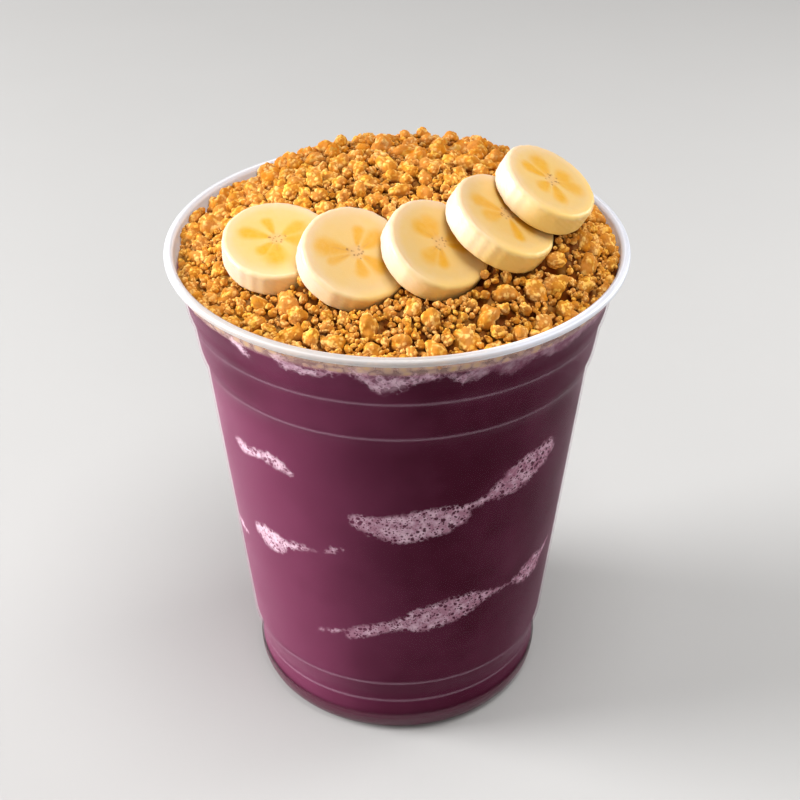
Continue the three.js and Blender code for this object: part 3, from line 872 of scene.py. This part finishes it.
class AcaiCrumbleSettings(bpy.types.PropertyGroup):
    seed: amount("Seed", "Seed of the random shapes and places", 7)
    largest: amount("Largest", "Most crumbs of 6 to 8 mm", 98)
    large: amount("Large", "Most crumbs of 5 to 6 mm", 145)
    middling: amount("Middling", "Most crumbs of 3.5 to 5 mm", 145)
    medium: amount("Medium", "Most crumbs of 3 to 3.5 mm", 145)
    little: amount("Little", "Most crumbs of 2 to 3 mm", 660)
    small: amount("Small", "Most crumbs of 1 to 2 mm", 1900)
    fine: amount("Fine", "Most crumbs under 1 mm", 1500)
    golden: colour("Golden", "Lighter crumbs", (0.95, 0.555, 0.085))
    # Brown: darker crumbs at random, and painted shade towards the back of the heap.
    brown: colour("Brown", "Darker crumbs", (0.47, 0.232, 0.034))
    # Pale: dry sandy grit in patches, and a painted highlight on the grit's tops.
    pale: colour("Pale", "Dry sandy grit on the crumbs", (0.97, 0.67, 0.32))
    # Crease: painted shade in the creases between knobs.
    crease_shade: colour("Crease", "Creases between knobs", (0.48, 0.135, 0.004))
    # Underside: painted shade on the sides that look down or to the right, away from the key light.
    under: colour("Underside", "Browner sides that look down or to the right", (0.66, 0.225, 0.007))
    # Gap: painted shade deep between the crumbs.
    gap: colour("Gap", "Deep between the crumbs", (0.135, 0.018, 0.0004))


class AcaiBananaSettings(bpy.types.PropertyGroup):
    thickness: length("Thickness", "How thick the slices are cut", 0.0066)
    bevel: length("Edge", "Rounding of the cut edge", 0.0011)
    flesh: colour("Flesh", "Cut face", (0.67, 0.46, 0.2))
    halo: colour("Halo", "Cut face round the heart", (0.69, 0.435, 0.115))
    star: colour("Star", "Petals round the heart", (0.68, 0.325, 0.002))
    vein: colour("Vein", "Thin lines along the petals", (0.6, 0.3, 0.05))
    heart: colour("Heart", "Middle of the slice", (0.66, 0.4, 0.15))
    dark_seed: colour("Seed", "Small seeds", (0.26, 0.11, 0.03))
    flank: colour("Side", "Side that the peel came off", (0.68, 0.545, 0.43))
    # Front Side and Shaded Side: painted shade on the sides that turn partly and fully from the key light.
    front: colour("Front Side", "Side that looks to the front", (0.8, 0.61, 0.36))
    shaded: colour("Shaded Side", "Side that looks away from the light", (0.9, 0.6, 0.17))


class AcaiStageSettings(bpy.types.PropertyGroup):
    floor: colour("Floor", "Colour of the floor", (0.44, 0.435, 0.43))
    key: strength("Key", "Power of the main light", 43.0, "POWER")
    side: strength("Side", "Power of the right light", 2.1, "POWER")
    sky: strength("Sky", "Strength of the even light", 0.3)


# ======================================================================================
# Pieces
# ======================================================================================
def cut_sizes():
    """Thickness of the cup's wall and of the slices, in millimetres."""
    scene = bpy.context.scene
    return scene.acai_cup.wall / MM, scene.acai_banana.thickness / MM


class ACAI_OT_cup(bpy.types.Operator):
    """Add the clear ribbed cup"""

    bl_idname = "acai.cup"
    bl_label = "Cup"

    STEPS = 192
    FOOT_MILK = 0.8
    FLOOR_MILK = 0.1

    def execute(self, context):
        settings = context.scene.acai_cup
        profile, milk = self.profile(settings)
        points, faces = closed_grid(*turned(profile, self.STEPS))
        depth = RIM_TOP - points[:, 2]
        from_axis = np.hypot(points[:, 0], points[:, 1])
        # Inside, above the crumbs, the wall is as milky as the rim, but not at the front.
        inside = (depth > OUTER_WALL[0][0]) & (from_axis < outer_radius(depth) - settings.wall / MM / 2)
        inner = inside * smoothstep(7.5, 4.5, depth) * smoothstep(-0.85, -0.4, points[:, 1] / 50)
        milk = np.concatenate([np.repeat(milk[1:-1], self.STEPS), milk[[0, -1]]])
        # Painted shade on the rim: most at its front, less at its left.
        rim_front_shade = smoothstep(-10, -52, points[:, 1]) * smoothstep(34, 6, points[:, 0])
        marks = {
            "milk": np.maximum(milk, settings.rim_milk * inner),
            "rim": np.maximum(smoothstep(3.1, 2.3, depth), inner),
            "rim_painted_shade": np.clip(rim_front_shade + 0.35 * smoothstep(0, -40, points[:, 0]), 0, 1),
            "neck": smoothstep(6.2, 5.0, depth) * (1 - inner),
            "foot": smoothstep(OUTER_WALL[-1][0] - 3.4, OUTER_WALL[-1][0] - 1.6, depth),
        }
        add_piece("clear_cup", points, faces, clear_plastic(settings), ["cup"], marks)
        return {"FINISHED"}

    def profile(self, settings):
        """Radius and height from the foot's centre up the outside, over the rim and down
        the inside to the middle of the floor, with the milkiness of each point."""
        wall = settings.wall / MM
        foot_inside = FOOT_RADIUS - FOOT_RING_WIDTH
        slope_top = foot_inside - FOOT_SLOPE
        foot = [(radius, FOOT_RECESS) for radius in (0, 12, 24, slope_top - 0.6)]
        foot += [(slope_top, FOOT_RECESS - 0.15), (foot_inside - 0.15, 0.15), (foot_inside, 0)]
        foot += [(FOOT_RADIUS, 0)]
        # The foot rounds up into the wall along a quarter ellipse.
        wall_foot_depth, wall_foot_radius = OUTER_WALL[-1]
        quarter = np.radians(np.arange(12, 90, 12))
        foot_round = np.stack([
            FOOT_RADIUS + (wall_foot_radius - FOOT_RADIUS) * np.sin(quarter),
            (RIM_TOP - wall_foot_depth) * (1 - np.cos(quarter)),
        ], axis=-1)
        depth = np.linspace(wall_foot_depth, OUTER_WALL[0][0], 200)
        across_line = np.array([-2, -1.4, -1, -0.6, -0.3, 0, 0.3, 0.6, 1, 1.4, 2])
        for line, _, half_width in RIB_LINES:
            depth = np.append(depth, line + half_width * across_line)
        depth = np.sort(np.clip(depth, OUTER_WALL[0][0], wall_foot_depth))[::-1]
        depth = depth[np.append(True, -np.diff(depth) > 0.02)]
        relief, show = rib_relief(depth)
        outside = np.stack([outer_radius(depth) + relief, RIM_TOP - depth], axis=-1)
        # The rolled rim is an ellipse, from under its outside over the top to the inside.
        roll = np.radians(np.linspace(-50, 185, 48))
        rim = np.stack([
            RIM_RADIUS - BEAD_WIDTH / 2 + BEAD_WIDTH / 2 * np.cos(roll),
            RIM_TOP - BEAD_HEIGHT / 2 + BEAD_HEIGHT / 2 * np.sin(roll),
        ], axis=-1)
        # Three fine bright lines run round it, painted highlights.
        lines = sum(np.exp(-(((np.degrees(roll) - line) / 11) ** 2)) for line in (-28, 40, 100))
        rim_milk = settings.rim_milk + 0.3 * lines
        inner_depth = np.linspace(3.0, wall_foot_depth, 120)
        inside = np.stack([inner_radius(inner_depth, wall), RIM_TOP - inner_depth], axis=-1)
        floor_top = FOOT_RECESS + wall
        floor_radius = inner_radius(wall_foot_depth, wall) - FLOOR_CORNER
        floor = [(floor_radius + 0.5, floor_top + 0.6)]
        floor += [(radius, floor_top) for radius in (floor_radius, 24, 12, 0)]
        parts = [np.array(foot, float), foot_round, outside, rim, inside, np.array(floor, float)]
        # The fine raised lines are milkier as a painted highlight.
        milk = [
            np.full(len(foot) + len(foot_round), self.FOOT_MILK),
            np.maximum(show * settings.line_milk_and_highlight, self.FOOT_MILK * smoothstep(124.5, 126.0, depth)),
            rim_milk, np.zeros(len(inside)), np.full(len(floor), self.FLOOR_MILK),
        ]
        return np.vstack(parts), np.concatenate(milk)


class ACAI_OT_cream(bpy.types.Operator):
    """Add the acai cream with its streaks of foam"""

    bl_idname = "acai.cream"
    bl_label = "Acai Cream"

    BITE = 0.15         # how far the cream reaches into the wall, so that no air gap shows
    LIP_DEPTH = 4.3     # top of the thin lip at the front, below the rim's top

    def execute(self, context):
        settings = context.scene.acai_cream
        wall = context.scene.acai_cup.wall / MM
        level = RIM_TOP - settings.fill_depth / MM
        floor_top = FOOT_RECESS + wall - self.BITE
        floor_radius = inner_radius(OUTER_WALL[-1][0], wall) - FLOOR_CORNER
        # Against the wall the cream is smeared up in a thin lip, nearly to the rim.
        depth = np.linspace(OUTER_WALL[-1][0], self.LIP_DEPTH, 234)
        side = np.stack([inner_radius(depth, wall) + self.BITE, RIM_TOP - depth], axis=-1)
        lip_radius = inner_radius(settings.fill_depth / MM, wall) - 0.7
        lip = np.array([(lip_radius + 0.3, RIM_TOP - self.LIP_DEPTH - 0.2), (lip_radius, level)])
        floor = np.array([(0, floor_top), (18, floor_top), (floor_radius, floor_top)])
        top = np.array([(50, level), (40, level), (20, level), (0, level)])
        points, faces = closed_grid(*turned(np.vstack([floor, side, lip, top]), 360))
        # The lip is a tenth as high where it isn't at the front.
        lip_share = 0.1 + 0.9 * smoothstep(5, -30, points[:, 1])
        above = points[:, 2] > level
        points[above, 2] = level + (points[above, 2] - level) * lip_share[above]
        across = points[:, 0]
        # Painted light: the cream is paler towards the left, where the key light falls, and less so near
        # the top, most on the left, as painted shade under the rim.
        upper = smoothstep(86, 112, points[:, 2])
        shaded_top = upper * (0.2 + 0.5 * smoothstep(-26, -40, across))
        marks = {
            "foam": foam_share(points),
            # Painted light: the foam is lighter towards the left and darker towards the right.
            "thick": 0.12 + 0.46 * smoothstep(-18, -34, across) - 0.12 * smoothstep(10, 30, across),
            "pale": 0.9 * smoothstep(14, -32, across) * (1 - shaded_top),
            "haze": smoothstep(118, 120, points[:, 2]),
            "sheer": smoothstep(118, 120, points[:, 2]) * smoothstep(12, 24, across),
        }
        add_piece("acai_cream", points, faces, acai_cream(settings), ["acai"], marks)
        return {"FINISHED"}


def foam_share(points):
    """How deep a point lies in a foam streak: 0.5 on its outline, more inside, less outside.

    A streak is a chain of straight strokes on the unrolled wall, and its half width changes
    evenly along each stroke. The share falls by one over three millimetres of distance.
    """
    angle = np.arctan2(points[:, 1], points[:, 0])
    radius = np.hypot(points[:, 0], points[:, 1])
    best = np.full(len(points), -9.0)
    for streak in FOAM_STREAKS:
        for (start, low, thin), (end, high, thick) in zip(streak, streak[1:]):
            from_start = (angle - math.radians(start) + np.pi) % (2 * np.pi) - np.pi
            along, up = from_start * radius, points[:, 2] - low
            run, rise = math.radians(end - start) * radius, high - low
            part = np.clip((along * run + up * rise) / np.maximum(run**2 + rise**2, 1e-9), 0, 1)
            distance = np.hypot(along - part * run, up - part * rise)
            best = np.maximum(best, thin + part * (thick - thin) - distance)
    return np.clip(0.5 + best / 3.0, 0, 1)


class ACAI_OT_crumble_core(bpy.types.Operator):
    """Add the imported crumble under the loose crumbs"""

    bl_idname = "acai.crumble_core"
    bl_label = "Crumble Core"

    def execute(self, context):
        settings = context.scene.acai_crumble
        wall, thickness = cut_sizes()
        steps, rings = 400, 130
        angle = np.linspace(0, 2 * np.pi, steps, endpoint=False)
        edge = inner_radius(HEAP_EDGE_DEPTH, wall) - CLEARANCE
        radius = edge * np.linspace(1, 0.006, rings)[:, None]
        x, y = radius * np.cos(angle), radius * np.sin(angle)
        pebbles = cobbles(x, y, 2.6, 1) * 1.4 + cobbles(x, y, 1.0, 2) * 0.7
        z = RIM_TOP + crumb_level(x, y, wall, thickness) - CORE_DROP + pebbles
        surface = np.stack([x, y, z], axis=-1)
        level = RIM_TOP - context.scene.acai_cream.fill_depth / MM
        foot_radius = inner_radius(RIM_TOP - level, wall) - CLEARANCE
        bands = []
        for part in np.linspace(0, 1, 10)[:-1]:
            ring_z = level + part * (z[0] - level)
            bumps = 0.5 * cobbles(angle * edge, ring_z, 1.6, 3)
            ring_radius = foot_radius + part * (edge - foot_radius) - 0.5 + bumps
            ring_x, ring_y = ring_radius * np.cos(angle), ring_radius * np.sin(angle)
            bands.append(np.stack([ring_x, ring_y, ring_z], axis=-1))
        rows = np.vstack([np.array(bands), surface])
        points, faces = closed_grid(rows, (0, 0, level), (0, 0, surface[-1, :, 2].mean()))
        # The core's painted shade: darker in the low parts between its pebbles.
        crease_shade = np.concatenate([np.full(len(bands) * steps, 0.2), 1 - pebbles.ravel() / 1.8, [1.0, 0.5]])
        marks = {
            "crease_shade": np.clip(crease_shade, 0, 1),
            "tone_and_back_shade": np.full(len(points), 0.3),
            "gap_shade": 0.2 + 0.8 * gap_shade_share(points),
            "under": np.zeros(len(points)),
        }
        material = baked_crumble(settings, "packed crumble", 0.9)
        add_piece("crumble_core", points, faces, material, ["crumb_heap"], marks)
        return {"FINISHED"}


class ACAI_OT_crumbs(bpy.types.Operator):
    """Add the loose crumbs, one piece for each size"""

    bl_idname = "acai.crumbs"
    bl_label = "Crumbs"

    RING = 520    # most crumbs in the ring against the wall

    def execute(self, context):
        settings = context.scene.acai_crumble
        wall, thickness = cut_sizes()
        random = np.random.default_rng(settings.seed)
        material = baked_crumble(settings, "baked crumble", 0.75)
        placed = np.zeros((0, 4))
        for name, kind in CRUMB_KINDS.items():
            keep = getattr(settings, name)
            chosen = CHOSEN_CRUMBS if name == "largest" else ()
            fresh = drop_crumbs(placed, chosen, keep, kind, wall, thickness, random)
            if name == "small":
                fresh = np.vstack([fresh, self.against_wall(wall, random)])
            if not len(fresh):
                raise RuntimeError(f"no {name} crumbs came to rest")
            placed = np.vstack([placed, fresh])
            self.add_kind(name, kind, fresh, material, random)
        return {"FINISHED"}

    def against_wall(self, wall, random):
        """A ring of small crumbs that shows through the wall, between the cream and the rim."""
        angle = 2 * np.pi * random.random(self.RING)
        angle = angle[np.sin(5 * angle + 1) + np.sin(11 * angle) + np.sin(17 * angle + 2) > -0.9]
        count = len(angle)
        radius = random.uniform(0.8, 1.5, count)
        depth = random.uniform(1.6, 5.4, count)
        from_axis = inner_radius(np.maximum(3.0, depth), wall) - 0.97 * radius
        x, y = from_axis * np.cos(angle), from_axis * np.sin(angle)
        return np.stack([x, y, RIM_TOP - depth, radius], axis=-1)

    def add_kind(self, name, kind, crumbs, material, random):
        """One joined mesh of knobbly lumps at the crumbs' places."""
        count = len(crumbs)
        lumps, crease_shade, triangles = knobbly_lumps(count, kind["mesh"], kind["knobs"], kind["knob"], random)
        turns = random_turns(count, random)
        squash = np.stack([random.uniform(1.0, 1.3, count), random.uniform(0.9, 1.15, count),
                           random.uniform(0.75, 1.0, count)], axis=-1)
        shaped = np.einsum("cij,cvj->cvi", turns, lumps * squash[:, None, :])
        points = (crumbs[:, None, :3] + shaped * crumbs[:, 3, None, None]).reshape(-1, 3)
        faces = triangles[None] + np.arange(count)[:, None, None] * lumps.shape[1]
        # Tone differs at random from crumb to crumb, and is darker towards the back of the heap as painted
        # shade.
        tone_and_back_shade = 0.35 * random.random(count) + 0.65 * smoothstep(8, 30, crumbs[:, 1])
        # Painted shade on the sides that look down or to the right, away from the key light; at the back,
        # where the sides that look to the front show, on those too.
        back = smoothstep(6, 32, points[:, 1])
        side = shaped.reshape(-1, 3)
        under = smoothstep(0.0, 1.0, side @ np.array([0.75, -0.1, -0.6]) - back * side[:, 1])
        marks = {
            "crease_shade": crease_shade, "tone_and_back_shade": np.repeat(tone_and_back_shade, lumps.shape[1]), "gap_shade": gap_shade_share(points),
            "under": under,
        }
        faces = [faces.reshape(-1, 3)]
        add_piece(f"crumbs_{name}", points, faces, material, ["crumb_heap"], marks)


def gap_shade_share(points):
    """Painted shade deep in the gaps between crumbs: 1 there and 0 on the heap's outside, less on the lit
    left.
    """
    wall, thickness = cut_sizes()
    core = RIM_TOP + crumb_level(points[:, 0], points[:, 1], wall, thickness)
    lit = 1 - 0.5 * smoothstep(-12, -42, points[:, 0])
    return lit * smoothstep(0.1, -1.7, points[:, 2] - core)


class ACAI_OT_banana_slices(bpy.types.Operator):
    """Add the five banana slices"""

    bl_idname = "acai.banana_slices"
    bl_label = "Banana Slices"

    STEPS = 200
    FACE_ROWS = 60
    PETAL_ROOT = 0.15    # where the petals begin, as a share of the radius

    def execute(self, context):
        settings = context.scene.acai_banana
        material = banana_flesh(settings)
        for index, place in enumerate(SLICES):
            points, faces, marks = self.slice_shape(settings, place, np.random.default_rng(60 + index))
            node = f"banana_slice_{index + 1}"
            add_piece(f"banana_{index + 1}", points, faces, material, [node], marks)
        return {"FINISHED"}

    def slice_shape(self, settings, place, random):
        """Rows from the underside's middle out, up the side and in over the cut face.

        The outline is a circle with three lobes, ten flats left by strips of peel and fine
        ridges; the side is a straight cut with rounded edges.
        """
        thickness, bevel = settings.thickness / MM, settings.bevel / MM
        angle = np.linspace(0, 2 * np.pi, self.STEPS, endpoint=False)
        outline = 1 + 0.01 * np.cos(3 * angle) + 0.003 * np.cos(10 * angle + 1) + 0.002 * np.cos(30 * angle)
        ridges = sum(
            random.uniform(0.3, 1.0) * np.cos(waves * angle + random.uniform(0, 6))
            for waves in (13, 17, 23, 29)
        )
        radius = place["radius"] * outline + 0.03 * ridges
        inward = np.linspace(0, 1, 12) ** 0.8
        curve = np.radians(np.linspace(0, 90, 6))
        straight = np.linspace(0, 1, 14)[1:-1]
        # How far in and how high each row of the side lies.
        side = [(bevel - bevel * math.sin(a), -thickness + bevel - bevel * math.cos(a)) for a in curve]
        side += [(0.0, -thickness + bevel + (thickness - 2 * bevel) * part) for part in straight]
        side += [(bevel - bevel * math.cos(a), -bevel + bevel * math.sin(a)) for a in curve]
        rows, marks = [], []
        for share_out in inward[1:-1]:
            rows.append((share_out * (radius - bevel), np.full(self.STEPS, -thickness)))
            marks.append((share_out, 0.0))
        for inset, height in side:
            wave = 0.05 * np.cos(31 * angle + 5 * height) * (inset == 0)
            rows.append((radius - inset + wave, np.full(self.STEPS, height)))
            marks.append((1.0, 0.35 + 0.65 * float(smoothstep(0.0, -1.5 * bevel, height))))
        for share_out in np.linspace(1, 0, self.FACE_ROWS)[1:-1]:
            hollow = 0.06 * (1 - share_out**2) + 0.1 * math.exp(-((share_out / 0.12) ** 2))
            rows.append((share_out * (radius - bevel), 0 * angle - hollow))
            marks.append((share_out, 0.0))
        flat = np.array([[r * np.cos(angle), r * np.sin(angle), h] for r, h in rows]).transpose(0, 2, 1)
        along, across, facing, centre = slice_frame(place)
        turn = np.stack([along, across, facing])
        middle = centre - 0.16 * facing
        points, faces = closed_grid(flat @ turn + centre, centre - thickness * facing, middle)
        layers = self.face_marks(marks, angle, random)
        outwards = (points - centre) / place["radius"]
        # Painted shade on the sides that look to the front, down and to the right, away from the key light,
        # and more of it on the slices further right.
        shade = outwards @ np.array([0.6, -0.5, -0.8]) + 0.009 * place["x"]
        layers["front"] = smoothstep(-0.2, 0.5, shade)
        layers["away"] = smoothstep(0.35, 1.0, shade)
        return points, faces, layers

    def face_marks(self, marks, angle, random):
        """Where the star, its veins, heart, seeds, halo and side show, from 0 to 1.

        Six petals stand in three pairs. A petal is a drop along its direction: its half
        width grows from its root to its tip, and it fades over its own outline.
        """
        share_out, flank = (np.array(column)[:, None] + 0 * angle for column in zip(*marks))
        top = np.arange(len(marks))[:, None] > len(marks) - self.FACE_ROWS
        face_x, face_y = share_out * np.cos(angle), share_out * np.sin(angle)
        petal, seed, vein = (np.zeros_like(face_x) for _ in range(3))
        root = self.PETAL_ROOT
        for pair in range(3):
            for side in (-1, 1):
                aim = math.radians(120 * pair + 20 * side + random.uniform(-9, 9))
                tip = random.uniform(0.4, 0.62)
                forward = face_x * math.cos(aim) + face_y * math.sin(aim)
                sideways = -face_x * math.sin(aim) + face_y * math.cos(aim)
                part = np.clip((forward - root) / (tip - root), 0, 1)
                width = random.uniform(0.1, 0.22) * np.sqrt(np.maximum(part, 0.08))
                distance = np.hypot(sideways, np.maximum(0, np.maximum(root - forward, forward - tip)))
                strength = random.uniform(0.75, 1.0)
                petal = np.maximum(petal, strength * smoothstep(1.7, 0.4, distance / width))
                bend = random.uniform(-0.05, 0.05)
                line = smoothstep(0.03, 0.004, np.abs(sideways - bend * part))
                ends = smoothstep(0.12, 0.2, forward) * smoothstep(tip - 0.05, tip - 0.3, forward)
                vein = np.maximum(vein, random.uniform(0.3, 0.8) * line * ends)
        for _ in range(13):
            out, aim = random.uniform(0.05, 0.19), random.uniform(0, 6.3)
            size = random.uniform(0.014, 0.024)
            gap = np.hypot(face_x - out * math.cos(aim), face_y - out * math.sin(aim))
            seed = np.maximum(seed, random.uniform(0.35, 0.9) * smoothstep(1.5 * size, 0.4 * size, gap))
        heart = smoothstep(0.22, 0.1, share_out)
        halo = 0.6 * smoothstep(0.95, 0.4, share_out)
        layers = {"petal": petal, "seed": seed, "vein": vein, "heart": 0.8 * heart, "halo": halo}
        layers = {key: np.where(top, values, 0.0) for key, values in layers.items()}
        rim = smoothstep(0.8, 1.0, share_out) * 0.35
        layers["flank"] = np.maximum(flank, np.where(top, rim, 0.6))
        middle = {"heart": 0.8, "halo": 0.6}
        return {
            key: np.concatenate([values.ravel(), [0, middle.get(key, 0)]]) for key, values in layers.items()
        }


# ======================================================================================
# Stage
# ======================================================================================
class ACAI_OT_stage(bpy.types.Operator):
    """Add the floor, the lights and the camera"""

    bl_idname = "acai.stage"
    bl_label = "Stage"

    AIM = Vector((0, 0, 0.09))
    FLOOR_HALF = 4.0
    CAMERA_PLACE = (0.0007, -0.3553, 0.3188)
    CAMERA_TILT = math.radians(56.47)

    def execute(self, context):
        settings = context.scene.acai_stage
        self.add_floor(settings)
        for name, place, size, power in (
            ("key light", (-1.35, 0.0, 0.55), 0.8, settings.key),
            ("top light", (0.15, -0.2, 1.1), 0.6, settings.key * 0.19),
            ("fill light", (0.3, -1.1, 0.75), 0.5, settings.key * 0.06),
            ("right light", (0.6, 0.25, 0.28), 0.35, settings.side),
        ):
            self.add_light(name, place, size, power)
        world = bpy.data.worlds.new("studio")
        world.use_nodes = True
        sky = world.node_tree.nodes["Background"].inputs
        sky["Color"].default_value = (1.0, 0.97, 0.93, 1)
        sky["Strength"].default_value = settings.sky
        context.scene.world = world
        context.scene.view_settings.view_transform = "Standard"
        self.add_camera(context)
        return {"FINISHED"}

    def add_floor(self, settings):
        mesh = bpy.data.meshes.new("floor")
        half = self.FLOOR_HALF
        corners = [(-half, -half, 0), (half, -half, 0), (half, half, 0), (-half, half, 0)]
        mesh.from_pydata(corners, [], [(0, 1, 2, 3)])
        mesh.materials.append(plain_floor(settings))
        floor = bpy.data.objects.new("floor", mesh)
        bpy.context.scene.collection.objects.link(floor)

    def add_light(self, name, place, size, power):
        """A round light that looks at the middle of the cup."""
        lamp = bpy.data.lights.new(name, "AREA")
        lamp.shape = "DISK"
        lamp.size = size
        lamp.energy = power
        light = bpy.data.objects.new(name, lamp)
        light.location = place
        light.rotation_euler = (self.AIM - Vector(place)).to_track_quat("-Z", "Y").to_euler()
        bpy.context.scene.collection.objects.link(light)

    def add_camera(self, context):
        data = bpy.data.cameras.new("camera")
        data.lens = 72
        data.sensor_width = 36
        data.clip_start = 0.01
        camera = bpy.data.objects.new("camera", data)
        camera.location = self.CAMERA_PLACE
        camera.rotation_euler = (self.CAMERA_TILT, 0, 0)
        context.scene.collection.objects.link(camera)
        context.scene.camera = camera


# ======================================================================================
# Panel and registration
# ======================================================================================
class ACAI_PT_panel(bpy.types.Panel):
    bl_idname = "ACAI_PT_panel"
    bl_label = "Acai Cup"
    bl_space_type = "VIEW_3D"
    bl_region_type = "UI"
    bl_category = "Acai Cup"

    def draw(self, context):
        for operator in OPERATORS:
            self.layout.operator(operator.bl_idname)


OPERATORS = (
    ACAI_OT_cup, ACAI_OT_cream, ACAI_OT_crumble_core, ACAI_OT_crumbs, ACAI_OT_banana_slices,
    ACAI_OT_stage,
)
SETTINGS = {
    "acai_cup": AcaiCupSettings,
    "acai_cream": AcaiCreamSettings,
    "acai_crumble": AcaiCrumbleSettings,
    "acai_banana": AcaiBananaSettings,
    "acai_stage": AcaiStageSettings,
}
CLASSES = (*SETTINGS.values(), *OPERATORS, ACAI_PT_panel)


def register():
    for cls in CLASSES:
        bpy.utils.register_class(cls)
    for name, group in SETTINGS.items():
        setattr(bpy.types.Scene, name, bpy.props.PointerProperty(type=group))


def unregister():
    for name in SETTINGS:
        delattr(bpy.types.Scene, name)
    for cls in reversed(CLASSES):
        bpy.utils.unregister_class(cls)


def main():
    register()
    bpy.ops.acai.cup()
    bpy.ops.acai.cream()
    bpy.ops.acai.crumble_core()
    bpy.ops.acai.crumbs()
    bpy.ops.acai.banana_slices()
    bpy.ops.acai.stage()
    bpy.context.view_layer.update()


if __name__ == "__main__":
    main()
